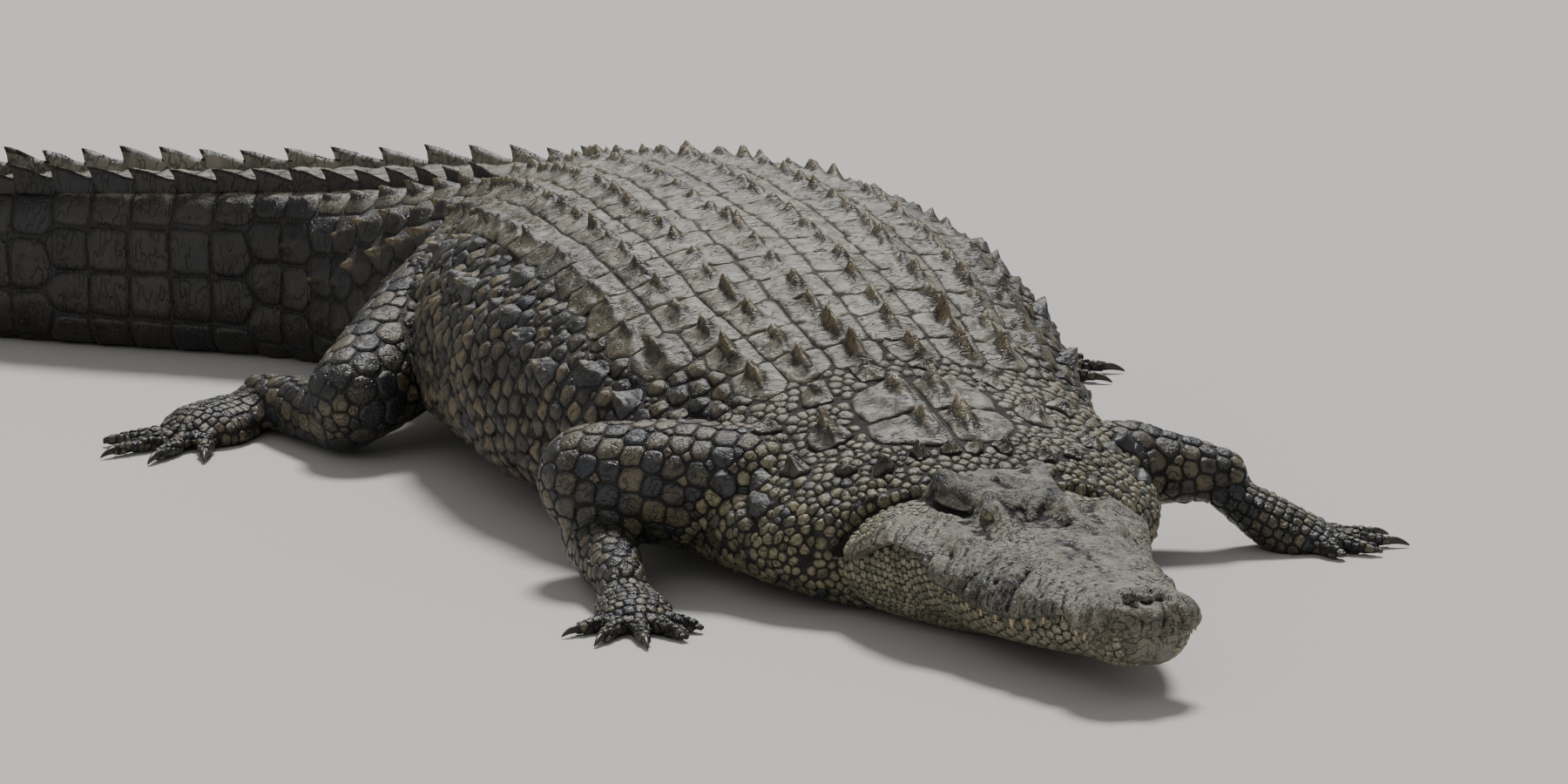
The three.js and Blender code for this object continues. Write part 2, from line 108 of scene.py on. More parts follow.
upper_power = curve([
    (0, 2.2), (60, 2.5), (300, 2.2), (450, 1.75), (600, 1.8), (700, 1.9), (824, 1.95), (1118, 2.2),
    (1500, 2.5), (1900, 2.5), (2200, 2.5), (2500, 3.0), (2800, 4.2), (3200, 4.2), (3500, 3.0),
    (LENGTH, 2.0)])
lower_power = curve([
    (0, 2.4), (500, 2.4), (700, 2.3), (1000, 2.5), (2000, 2.5), (2800, 3.2), (LENGTH, 2.2)])
coat_depth = curve([(0, 0.5), (560, 0.8), (660, 3.5), (900, COAT), (LENGTH, COAT * 0.7)])
# Raised and hollow places of the head: station, sideways place, their two radii, height.
RELIEF = [
    (38, 0, 32, 42, 9), (30, 20, 14, 12, 4), (425, 52, 36, 18, 30), (372, 42, 22, 13, 8),
    (425, 0, 50, 28, -8), (200, 72, 50, 24, 5), (540, 165, 60, 40, 12), (590, 72, 24, 15, 12),
    (824, 0, 90, 120, 10)]

spine_stations = np.arange(0, LENGTH + 100 + SPINE_STEP, SPINE_STEP, float)
turned = np.radians(heading(spine_stations[:-1] + SPINE_STEP / 2))
spine_x = np.concatenate([[0], np.cumsum(-np.sin(turned) * SPINE_STEP)])
spine_y = np.concatenate([[0], np.cumsum(np.cos(turned) * SPINE_STEP)])
spine_x += ORIGIN_X - np.interp(ORIGIN_STATION, spine_stations, spine_x)
spine_y -= np.interp(ORIGIN_STATION, spine_stations, spine_y)


def place(s, x, z):
    """Points x to the animal's left of the spine at station s, z above the floor, in metres."""
    s, x, z = np.broadcast_arrays(np.asarray(s, float), x, z)
    a = np.radians(heading(s))
    ox = np.interp(s, spine_stations, spine_x)
    oy = np.interp(s, spine_stations, spine_y)
    return np.stack([ox + x * np.cos(a), oy + x * np.sin(a), z], -1) * MM


def relief(s, x):
    z = 0.0
    for at, out, rs, rx, height in RELIEF:
        z = z + height * np.exp(-((s - at) / rs) ** 2 - ((np.abs(x) - out) / rx) ** 2)
    table_width = 60 + 20 * ease(430, 590, s)
    table = ease(435, 475, s) * (1 - ease(600, 624, s))
    return z + 26 * table * (1 - ease(table_width - 8, table_width + 16, np.abs(x)))


def outline(s, turn, grow=0.0):
    """The section at station s: turn 0 is the left lip or flank, 90 the back, 270 the belly."""
    under = turn > 180
    power = 2 / np.where(under, lower_power(s), upper_power(s))
    c, v = np.cos(np.radians(turn)), np.sin(np.radians(turn))
    mid = mid_height(s)
    x = (half_width(s) - np.where(under, jaw_inset(s), 0) + grow) * np.sign(c) * np.abs(c) ** power
    rise = np.abs(v) ** power
    above = mid + (top_height(s) - mid + grow) * rise + relief(s, x) * np.minimum(1, rise * 3)
    below = mid - (mid - bottom_height(s) + grow) * rise
    return x, np.where(under, below, above)


# The skin starts as a flat grid: stations along it, and turns round the body across it.
stations = [0.0, 0.0]
while stations[-1] < 2200:
    s = stations[-1]
    stations.append(s + np.interp(s, [0, 30, 400, 640, 760, 1000], [0.9, 2.7, 2.5, 2.9, 9, 17]))
stations = np.array(stations)
UPPER_ROWS, LOWER_ROWS = 124, 40
SLOT_TURN, LOWER_LIP_TURN, MOUTH_END = 180.7, 181.4, 626
upper_turns = np.linspace(0, 180, UPPER_ROWS + 1)
upper_turns += 7 * np.sin(np.radians(upper_turns * 2)) * -1
turns = np.concatenate([
    upper_turns, [SLOT_TURN, LOWER_LIP_TURN], np.linspace(184, 356, LOWER_ROWS),
    [540 - LOWER_LIP_TURN, 540 - SLOT_TURN, 360]])


def body_point(s, turn, grow):
    """The outline, with the slot of the mouth let in between the two jaws."""
    x, z = outline(s, turn, grow)
    parted = 1 - ease(MOUTH_END - 30, MOUTH_END, s)
    side = np.where((turn > 90) & (turn < 270), -1, 1)
    inner = half_width(s) + grow - jaw_inset(s)
    for at, further_in, below in ((SLOT_TURN, 7, 0.4), (LOWER_LIP_TURN, 0, 2.0)):
        here = np.minimum(np.abs(turn - at), np.abs(turn - (540 - at))) < 0.1
        x = np.where(here, x + (side * (inner - further_in) - x) * parted, x)
        z = np.where(here, z + (mid_height(s) - below - z) * parted, z)
    return x, z


def made(name, bm):
    """A mesh from a bmesh, which is freed."""
    mesh = bpy.data.meshes.new(name)
    bm.to_mesh(mesh)
    bm.free()
    return mesh


def smooth(mesh):
    mesh.polygons.foreach_set("use_smooth", np.ones(len(mesh.polygons), bool))


def show(name, data):
    """A new object of the scene, from its mesh, lamp or camera."""
    o = bpy.data.objects.new(name, data)
    bpy.context.scene.collection.objects.link(o)
    return o


def read(mesh, normals=False):
    """The place of each point, or its normal."""
    values = np.zeros(len(mesh.vertices) * 3)
    if normals:
        mesh.vertex_normals.foreach_get("vector", values)
    else:
        mesh.vertices.foreach_get("co", values)
    return values.reshape(-1, 3)


def read_value(mesh, word):
    values = np.zeros(len(mesh.vertices))
    mesh.attributes[word].data.foreach_get("value", values)
    return values


def keep(mesh, **values):
    """Keeps a value for each point of the mesh under each word."""
    for word, value in values.items():
        value = np.broadcast_to(value, len(mesh.vertices)).astype(np.float32)
        mesh.attributes.new(word, "FLOAT", "POINT").data.foreach_set("value", value)


def grid_skin(name, stations, turns):
    """A tube of skin from a flat grid, with each point's station and turn kept on it."""
    bm = bmesh.new()
    nx, ny = len(stations) - 1, len(turns) - 1
    bmesh.ops.create_grid(bm, x_segments=nx, y_segments=ny, size=1.0)
    mesh = made(name, bm)
    flat = read(mesh)
    i = np.rint((flat[:, 0] + 1) / 2 * nx).astype(int)
    j = np.rint((flat[:, 1] + 1) / 2 * ny).astype(int)
    s, turn = stations[i], turns[j]
    x, z = body_point(s, np.where(j == ny, 0, turn), -coat_depth(s))
    if s.min() == 0:
        x, z = np.where(i == 0, 0, x), np.where(i == 0, NOSE_HEIGHT, z)
    if s.max() == LENGTH:
        x, z = np.where(i == nx, 0, x), np.where(i == nx, TAIL_TIP_HEIGHT, z)
    co = place(s, x, np.maximum(z, LOWEST))
    mesh.vertices.foreach_set("co", co.ravel())
    keep(mesh, station=s, turn=turn)
    mesh.update()
    return mesh


front = grid_skin("front", stations, turns)
tail = grid_skin("tail", np.linspace(2212, LENGTH, 110), np.linspace(0, 360, 61))
bm = bmesh.new()
bm.from_mesh(front)
bm.from_mesh(tail)
bmesh.ops.remove_doubles(bm, verts=bm.verts, dist=1e-5)
rims = [e for e in bm.edges if e.is_boundary]
bmesh.ops.bridge_loops(bm, edges=rims)
# The skin is cut finer round each eye.
EYE_STATION, EYE_OUT, EYE_HEIGHT, EYE_RADIUS = 426, 57.5, 178, 14.5
SIDES = (("right", -1), ("left", 1))
eyes = {word: place(EYE_STATION, way * EYE_OUT, EYE_HEIGHT) for word, way in SIDES}
for centre in eyes.values():
    for far in (0.036, 0.025):
        close = [e for e in bm.edges if all((v.co - Vector(centre)).length < far for v in e.verts)]
        bmesh.ops.subdivide_edges(bm, edges=close, cuts=1, use_grid_fill=True)
bmesh.ops.triangulate(bm, faces=[f for f in bm.faces if len(f.verts) > 4])
bmesh.ops.recalc_face_normals(bm, faces=bm.faces)
bm.to_mesh(front)
bm.free()


# Distance round the body from the middle of the back: q, positive on the animal's left.
sweep = np.linspace(90, -90, 181)
ring_stations = np.arange(0, LENGTH + 1, 10.0)
ring_x, ring_z = outline(ring_stations[:, None], sweep[None] % 360)
ring_z = np.maximum(ring_z, 0)
arcs = np.cumsum(np.hypot(np.diff(ring_x, axis=1), np.diff(ring_z, axis=1)), 1)
arcs = np.concatenate([np.zeros((len(arcs), 1)), arcs], 1)


def girth(s, upto=-90):
    """Half the way round the body at station s, from the back down to the given turn."""
    i = int(np.clip(s / 10, 0, len(arcs) - 1))
    return np.interp(-upto, -sweep, arcs[i])


def skin_at(s, q, grow=0.0):
    """Points of the outline at station s and distance q round from the middle of the back."""
    s, q = np.atleast_1d(np.asarray(s, float)), np.atleast_1d(np.asarray(q, float))
    s, q = np.broadcast_arrays(s, q)
    turn = np.zeros(len(s))
    for k, (a, b) in enumerate(zip(s, q)):
        row = min(max(a / 10, 0), len(arcs) - 1.001)
        i = int(row)
        lengths = arcs[i] * (1 - row + i) + arcs[i + 1] * (row - i)
        t = np.interp(abs(b), lengths, sweep)
        turn[k] = (t if b >= 0 else 180 - t) % 360
    x, z = outline(s, turn, grow)
    return place(s, x, np.maximum(z, 0))


# What the head shows: each mark is a height, a radius, the side it is on (0 is both) and the
# points it runs through, as station and distance from the middle line.
HEAD_MARKS = [
    (7, 28, 0, [(34, 58)]), (5, 12, 0, [(5, 0)]), (-4, 7, 0, [(1, 15), (12, 19), (26, 24)]),
    (-4, 7, 0, [(27, 32), (23, 12), (22, -2)]), (-9, 6, 0, [(41, 8), (46, 16), (53, 18)]),
    (3, 7, 0, [(36, 22), (52, 27), (62, 16)]), (-4, 8, 0, [(78, 0), (80, 40), (84, 80)]),
    (-6, 5, -1, [(134, -27)]), (-4, 4, 1, [(118, 30)]), (-7, 6, -1, [(266, -124)]),
    (-10, 7, -1, [(238, -86), (229, -104), (224, -124), (226, -146)]),
    (-6, 6, 1, [(222, 92), (216, 112), (214, 140)]),
    (6, 24, 0, [(200, 118)]), (5, 24, 0, [(254, 112)]), (3, 16, 0, [(150, 100)]),
    (-2.3, 6, 0, [(128, 50), (108, 76), (100, 104)]), (-2.3, 6, 0, [(146, 54), (126, 82), (120, 112)]),
    (-2.3, 6, 0, [(168, 58), (148, 86), (142, 120)]), (-2.3, 6, 0, [(190, 60), (170, 90), (166, 126)]),
    (-2.3, 6, 0, [(204, 66), (190, 92), (184, 132)]), (-3, 5.5, 0, [(286, 90), (280, 118), (284, 160)]),
    (-3, 5.5, 0, [(318, 100), (312, 130), (318, 166)]), (-2, 5, 0, [(196, 20), (180, 44), (150, 46)]),
    (4, 18, 0, [(334, 32)]), (-3, 9, 0, [(300, 8), (250, 10), (200, 6)]),
    (6, 10, 0, [(384, 40)]), (5, 9, 0, [(360, 52)]), (-4, 5, 0, [(396, 30), (376, 30), (368, 42)]),
    (-4, 20, 0, [(388, 142)]), (5, 16, 0, [(404, 132), (440, 128), (480, 142), (530, 166), (580, 190)]),
    (4, 15, 0, [(598, 70), (566, 66), (524, 58), (484, 52), (452, 48)]),
    (-7, 8, 0, [(470, 62), (488, 60)]), (-10, 9, 0, [(476, 88), (512, 98), (560, 106)]),
    (4, 8, 0, [(590, 102), (560, 122), (520, 116), (480, 106)]),
    (-4, 7, 0, [(452, 104), (480, 122), (530, 142)]), (-5, 12, 0, [(510, 0), (560, 0)]),
    (-12, 8, 0, [(628, 96), (634, 140), (636, 190), (630, 240), (624, 300)]),
    (-4, 8, 0, [(628, 0), (628, 40), (628, 96)]), (-4, 7, 0, [(655, 130), (668, 180), (672, 240)]),
    (6, 20, 0, [(650, 150), (656, 210), (650, 270)])]


def path_distance(points, path):
    """Distance from each point to the nearest place on a line through the path's points."""
    best = np.linalg.norm(points - path[0], axis=1)
    for a, b in zip(path[:-1], path[1:]):
        t = np.clip((points - a) @ (b - a) / ((b - a) @ (b - a)), 0, 1)
        best = np.minimum(best, np.linalg.norm(points - a - t[:, None] * (b - a), axis=1))
    return best


def rough(points, size, seed=0.0):
    """Smooth noise from -1 to 1 whose lumps are about the given size across, in metres."""
    return np.array([noise.noise(Vector(p) / size + Vector((seed, seed, seed))) for p in points])


def cracks(points, size):
    """0 on the cracks of a mud-like pattern and 1 inside its cells."""
    out = []
    for p in points:
        d = noise.voronoi(Vector(p) / size)[0]
        out.append(min(1.0, (d[1] - d[0]) / 0.22))
    return np.array(out)


co, normals = read(front), read(front, normals=True)
s, turn = read_value(front, "station"), read_value(front, "turn")
on_head = np.where((s < 700) & (turn <= 181))[0]
p, n, hs = co[on_head], normals[on_head], s[on_head]
drift = np.stack([rough(p, 0.05, k) for k in (3.0, 7.0, 11.0)], 1) * 0.003
lift = np.zeros(len(p))
for height, radius, side, path in HEAD_MARKS:
    for way in ((1, -1) if side == 0 else (1,)):
        line = skin_at([a for a, _ in path], [b * way for _, b in path])
        d = path_distance(p + drift, line) / (radius * MM)
        lift += height * np.exp(-d * d)
fade = 1 - ease(620, 700, hs)
lumps = 2.0 * rough(p, 0.027) + 1.6 * rough(p, 0.012) + 1.1 * rough(p, 0.006)
across = np.abs(turn[on_head] - 90) / 90
stretched = p * np.array([0.35, 1.0, 0.35])
stretched = stretched + np.stack([drift[:, 0], 0.5 * np.abs(p[:, 0]), drift[:, 2]], 1) * 2
creases = np.exp(-(rough(stretched, 0.026, 8) / 0.17) ** 2) * ease(0.2, 0.6, across)
dried = 1 - cracks(p + drift, 0.015)
patchy = ease(-0.05, 0.3, rough(p, 0.05, 5))
lift += fade * (lumps - 2.2 * creases - 1.1 * dried * patchy)
lift *= np.minimum(1, 0.25 + np.minimum(turn[on_head], 180 - turn[on_head]) / 6)
co[on_head] += n * (lift * MM)[:, None]
# Lids: the skin is stretched over each eyeball and slit, with thick rims and a fold above.
SLIT_LENGTH, SLIT_ABOVE, SLIT_BELOW = 13.5, 4.6, 6.0
LID_THICK, LID_RIM, LID_FOLD, LID_REACH = 1.4, 1.7, 1.5, 34
gaze = {}


def unit(v):
    return v / np.linalg.norm(v, axis=-1, keepdims=True)


def opening(points, word):
    """Where points lie about an eye: under 1 in its slit, 1 on the rims of the lids and more
    outside, with how far they face the way it looks, and their distance in millimetres."""
    look, long_way, over = gaze[word]
    d = points - eyes[word]
    r = np.maximum(np.linalg.norm(d, axis=1) / MM, 0.1)
    d = d / (r[:, None] * MM)
    facing = d @ look
    a = np.arctan2(d @ long_way, facing) * EYE_RADIUS
    b = np.arctan2(d @ over, facing) * EYE_RADIUS
    half = np.where(b > 0, SLIT_ABOVE, SLIT_BELOW)
    return np.hypot(a / SLIT_LENGTH, (b + 0.14 * a) / half), facing, r


for word, way in SIDES:
    ahead = unit(place(300, 0, 0) - place(420, 0, 0))
    outward = np.cross([0, 0, 1.0], ahead) * way
    look = unit(outward * 0.80 + ahead * 0.42 + np.array([0, 0, 0.30]))
    long_way = unit(ahead - look * (ahead @ look)) + np.array([0, 0, -0.22])
    long_way = unit(long_way - look * (long_way @ look))
    over = np.cross(look, long_way) * way
    over *= np.sign(over[2])
    gaze[word] = (look, long_way, over)
    open_at, facing, r = opening(co, word)
    near = np.where((r < LID_REACH) & (turn < 181) & (s < 700))[0]
    open_at, facing, r = open_at[near], facing[near], r[near]
    ahead_of = facing > 0
    rim = LID_RIM * np.exp(-((open_at - 1.22) / 0.22) ** 2) * ahead_of
    fold = LID_FOLD * np.exp(-((open_at - 1.8) / 0.18) ** 2) * ahead_of
    shell = EYE_RADIUS + LID_THICK + rim - fold
    wrapped = 3.5 * np.logaddexp(r / 3.5, shell / 3.5) - 1.2
    wrapped = np.where((open_at < 1) & ahead_of, EYE_RADIUS - 4, wrapped)
    out_of = (co[near] - eyes[word]) / (r[:, None] * MM)
    co[near] = eyes[word] + out_of * (wrapped * MM)[:, None]
# Trunk: the hide swells and sinks a little, and hangs in folds down the flanks.
on_trunk = np.where(s >= 640)[0]
p, n, hs = co[on_trunk], normals[on_trunk], s[on_trunk]
folds = p * np.array([1, 0.55, 1.0]) + p[:, [2, 2, 2]] * np.array([0, 0.5, 0])
folds = 1 - np.abs(rough(folds, 0.07, 2))
swell = 5 * rough(p, 0.22) + 2.5 * rough(p, 0.1, 4)
swell = swell - 7 * np.maximum(0, folds - 0.8) / 0.2 * (np.abs(n[:, 2]) < 0.86)
on_body = ease(640, 760, hs) * (1 - ease(2050, 2250, hs))
swell *= on_body * (p[:, 2] > 0.012)
co[on_trunk] += n * ((swell - 2) * on_body * MM)[:, None]
co[:, 2] = np.maximum(co[:, 2], LOWEST * MM)
front.vertices.foreach_set("co", co.ravel())
front.update()
smooth(front)
skin = show("skin", front)


# ---- The hide of the legs ----
# Each leg is a folded upper and lower limb with a flat palm or sole and its fingers or toes. The
# limbs flow into each other, and their skin is joined to the hide of the trunk without a seam.
LEG_VOXEL = 0.008
FORE_SOLE, HIND_SOLE = 92, 112
# Each finger or toe: the angle it spreads at, and its length.
FORE_DIGITS = [(62, 62), (32, 84), (4, 92), (-24, 84), (-52, 64)]
HIND_DIGITS = [(38, 96), (14, 124), (-10, 128), (-34, 104)]
DIGIT_RADII = (15, 9)
HIND_RADII = (106, 74, 52, 38)
# Root in the trunk, elbow or knee, top of the lower limb, wrist or ankle, middle of the sole; then
# the radii of the first four, the size of the sole, and the digits.
LEGS = {
    "arm_right": ([(-225, -560, 138), (-414, -424, 136), (-418, -440, 58), (-462, -650, 42),
                   (-478, -735, 16)], (88, 82, 52, 36), FORE_SOLE, [(-a, b) for a, b in FORE_DIGITS]),
    "arm_left": ([(236, -572, 106), (345, -534, 120), (352, -537, 118), (462, -582, 104),
                  (556, -626, 16)], (80, 62, 58, 38), FORE_SOLE, FORE_DIGITS),
    "leg_right": ([(-175, 640, 185), (-450, 416, 92), (-462, 430, 58), (-500, 672, 42),
                   (-606, 610, 16)], HIND_RADII, HIND_SOLE, HIND_DIGITS),
    "leg_left": ([(175, 640, 185), (450, 430, 92), (462, 444, 58), (505, 680, 42), (610, 616, 16)],
                 HIND_RADII, HIND_SOLE, [(-a, b) for a, b in HIND_DIGITS])}


def digit_lines(joints, sole, digits):
    """Where each finger or toe starts and ends, in millimetres, and the way it points."""
    cuff, pad = np.array(joints[3], float), np.array(joints[4], float)
    ahead = math.atan2(pad[1] - cuff[1], pad[0] - cuff[0])
    lines = []
    for spread, length in digits:
        turn = ahead + math.radians(spread)
        way = np.array([math.cos(turn), math.sin(turn), 0])
        start = np.array([pad[0], pad[1], 15]) + sole * 0.4 * way
        lines.append((start, start + length * way + [0, 0, -6], turn))
    return lines


# How much thicker each length of a limb is half way.
LIMB_SWELL = 1.06


def capsule(bm, a, b, ra, rb, flat):
    """A limb length from a to b, round-ended, thicker half way; flat thins it up and down."""
    a, b = Vector(a), Vector(b)
    for at, r in ((a, ra), ((a + b) / 2, (ra + rb) / 2 * LIMB_SWELL), (b, rb)):
        matrix = Matrix.Translation(at) @ Matrix.Diagonal((1, 1, flat, 1))
        bmesh.ops.create_icosphere(bm, subdivisions=3, radius=r, matrix=matrix)
    balls = bm.faces[:]
    hull = set(bmesh.ops.convex_hull(bm, input=bm.verts[:], use_existing_faces=False)["geom"])
    bmesh.ops.delete(bm, geom=[f for f in balls if f not in hull], context="FACES_ONLY")
    loose = [v for v in bm.verts if not v.link_faces]
    bmesh.ops.delete(bm, geom=loose, context="VERTS")


def finished(o):
    """The object's mesh with its modifiers applied."""
    bpy.context.view_layer.update()
    graph = bpy.context.evaluated_depsgraph_get()
    return bpy.data.meshes.new_from_object(o.evaluated_get(graph))


def relax(bm, verts, times):
    """Evens out the given points, and keeps every point above the floor."""
    for _ in range(times):
        bmesh.ops.smooth_vert(bm, verts=verts, factor=0.5, use_axis_x=True, use_axis_y=True,
                              use_axis_z=True)
    for v in bm.verts:
        v.co.z = max(v.co.z, LOWEST * MM)


def tree_of(mesh):
    """A search tree of the mesh's faces."""
    return BVHTree.FromPolygons([v.co for v in mesh.vertices], [p.vertices for p in mesh.polygons])


def limb_lengths(joints, radii, sole, lines):
    """The upper limb, the lower limb, the sole and the digits: two ends, two radii, flatness."""
    root, bend, low, cuff, pad = joints
    return [(root, bend, radii[0], radii[1], 1.0), (low, cuff, radii[2], radii[3], 1.0),
            ((cuff[0], cuff[1], cuff[2] * 0.8), pad, radii[3], sole * 0.62, 0.55),
            *((start, tip, *DIGIT_RADII, 1.0) for start, tip, _ in lines)]


# A limb's flesh lies inside its scales: by most of the coat's depth, but only a little on a digit.
LIMB_COAT, DIGIT_COAT = COAT * 0.8, 1.5
leg_meshes = {}
for name, (joints, radii, sole, digits) in LEGS.items():
    bm = bmesh.new()
    lines = digit_lines(joints, sole, digits)
    for a, b, ra, rb, flat in limb_lengths(joints, radii, sole, lines):
        piece = bmesh.new()
        take = LIMB_COAT if ra > DIGIT_RADII[0] else DIGIT_COAT
        capsule(piece, a, b, ra - take, rb - take, flat)
        one = made("length", piece)
        bm.from_mesh(one)
        bpy.data.meshes.remove(one)
    bmesh.ops.scale(bm, vec=(MM, MM, MM), verts=bm.verts)
    o = show(name, made(name, bm))
    remesh = o.modifiers.new("flesh", "REMESH")
    remesh.mode, remesh.voxel_size = "VOXEL", LEG_VOXEL
    mesh = finished(o)
    bpy.data.objects.remove(o)
    bm = bmesh.new()
    bm.from_mesh(mesh)
    for _ in range(5):
        relax(bm, [v for v in bm.verts if v.co.z > 0.03], 1)
    bmesh.ops.triangulate(bm, faces=bm.faces)
    bm.to_mesh(mesh)
    bm.free()
    leg_meshes[name] = mesh

# The union of trunk and legs, with the hide relaxed where they meet.
BLEND = 0.014
limbs = []
for name, mesh in leg_meshes.items():
    limb = show(name, mesh)
    limbs.append(limb)
    union = skin.modifiers.new(name, "BOOLEAN")
    union.operation, union.solver, union.object = "UNION", "MANIFOLD", limb
whole = finished(skin)
skin.modifiers.clear()
for limb in limbs:
    bpy.data.objects.remove(limb)
trunk_tree = tree_of(front)
leg_trees = [tree_of(mesh) for mesh in leg_meshes.values()]
bm = bmesh.new()
bm.from_mesh(whole)
relax(bm, [v for v in bm.verts if abs(v.co.y) < 0.9
           and min(tree.find_nearest(v.co)[3] for tree in leg_trees) < BLEND
           and trunk_tree.find_nearest(v.co)[3] < BLEND], 6)
bmesh.ops.remove_doubles(bm, verts=bm.verts, dist=2e-5)
bm.to_mesh(whole)
bm.free()
smooth(whole)
skin.data = whole
skin_tree = tree_of(whole)


# ---- The finish of the hide ----
# River mud has dried pale on everything that faces up, and lies unevenly. Below it the hide is
# olive, ochre and slate, with painted shade in the grooves and creases, horn-brown on the keels,
# partly as painted shade on their faces, and glossier low down.
MUD_PALE, MUD_DEEP = (0.31, 0.282, 0.218), (0.115, 0.103, 0.074)
# The groove colour is painted shade for grooves, creases and wrinkle lines, and also darkens the pores
# at random; the dark keel horn colour is partly painted shade on the keels' faces.
GROOVE, HORN_AND_SHADE, OCHRE = (0.014, 0.012, 0.010), (0.032, 0.027, 0.020), (0.17, 0.13, 0.062)
SLATE = (0.030, 0.034, 0.041)
LID = (0.075, 0.042, 0.027)
PLAIN, CROSSWISE = (1, 1, 1), (0.35, 1, 1)


def mud_on(points, facing):
    """How much dried mud lies at each point: it stays on what faces up, near the middle."""
    patch = rough(points, 0.16, 9) * 0.5 + rough(points, 0.05, 4) * 0.25
    aside = np.abs(points[:, 0] - np.interp(points[:, 1], spine_y * MM, spine_x * MM))
    band = 1 - 0.8 * ease(0.18, 0.30, aside + 0.10 * patch)
    band *= 1 - 0.8 * ease(1.5, 2.1, points[:, 1])
    band *= ease(0.60, 0.97, facing + 0.18 * patch)
    return band * ease(0.12, 0.25, points[:, 2] + 0.10 * patch)


def wet_on(points):
    """How wet each point is: soaked low down, dry from a quarter of a metre up."""
    return 1 - ease(0.06, 0.26, points[:, 2])


def join(tree, kind, outlet, settings=None, **sockets):
    """Adds a node, sets or links its sockets, and returns one of its outlets."""
    node = tree.nodes.new(kind)
    for setting, value in (settings or {}).items():
        setattr(node, setting, value)
    for word, value in sockets.items():
        inlet = node.inputs[int(word[1:]) if word[1:].isdigit() else word.replace("_", " ")]
        if isinstance(value, bpy.types.NodeSocket):
            tree.links.new(value, inlet)
        elif inlet.type == "RGBA":
            inlet.default_value = (*value, 1)
        else:
            inlet.default_value = value
    return node.outputs[outlet]


def new_finish(name):
    """An empty finish, its node tree and its shader."""
    finish = bpy.data.materials.new(name)
    finish.use_nodes = True
    return finish, finish.node_tree, finish.node_tree.nodes["Principled BSDF"]


def blend(tree, share, a, b):
    """Colour a turning into colour b by share."""
    return join(tree, "ShaderNodeMix", 2, {"data_type": "RGBA"}, i0=share, i6=a, i7=b)


def sum_up(tree, how, a, b, c=0.0):
    """A sum on numbers; how is the kind of sum."""
    return join(tree, "ShaderNodeMath", 0, {"operation": how}, i0=a, i1=b, i2=c)


def times_plus(tree, a, b, c):
    """a times b, plus c."""
    return sum_up(tree, "MULTIPLY_ADD", a, b, c)


def step_up(tree, value, low, high, to_low=0.0, to_high=1.0):
    """One number below low, the other above high, smooth between."""
    return join(tree, "ShaderNodeMapRange", 0, {"interpolation_type": "SMOOTHSTEP"},
                Value=value, From_Min=low, From_Max=high, To_Min=to_low, To_Max=to_high)


def noise_at(tree, at, scale, detail=4.0, roughness=0.6):
    """Soft random blotches, scale of them to a metre, from 0 to 1."""
    return join(tree, "ShaderNodeTexNoise", 0, Vector=at, Scale=scale, Detail=detail,
                Roughness=roughness)


def kept(tree, word):
    """A value kept on the mesh's own points."""
    return join(tree, "ShaderNodeAttribute", 2, {"attribute_name": word})


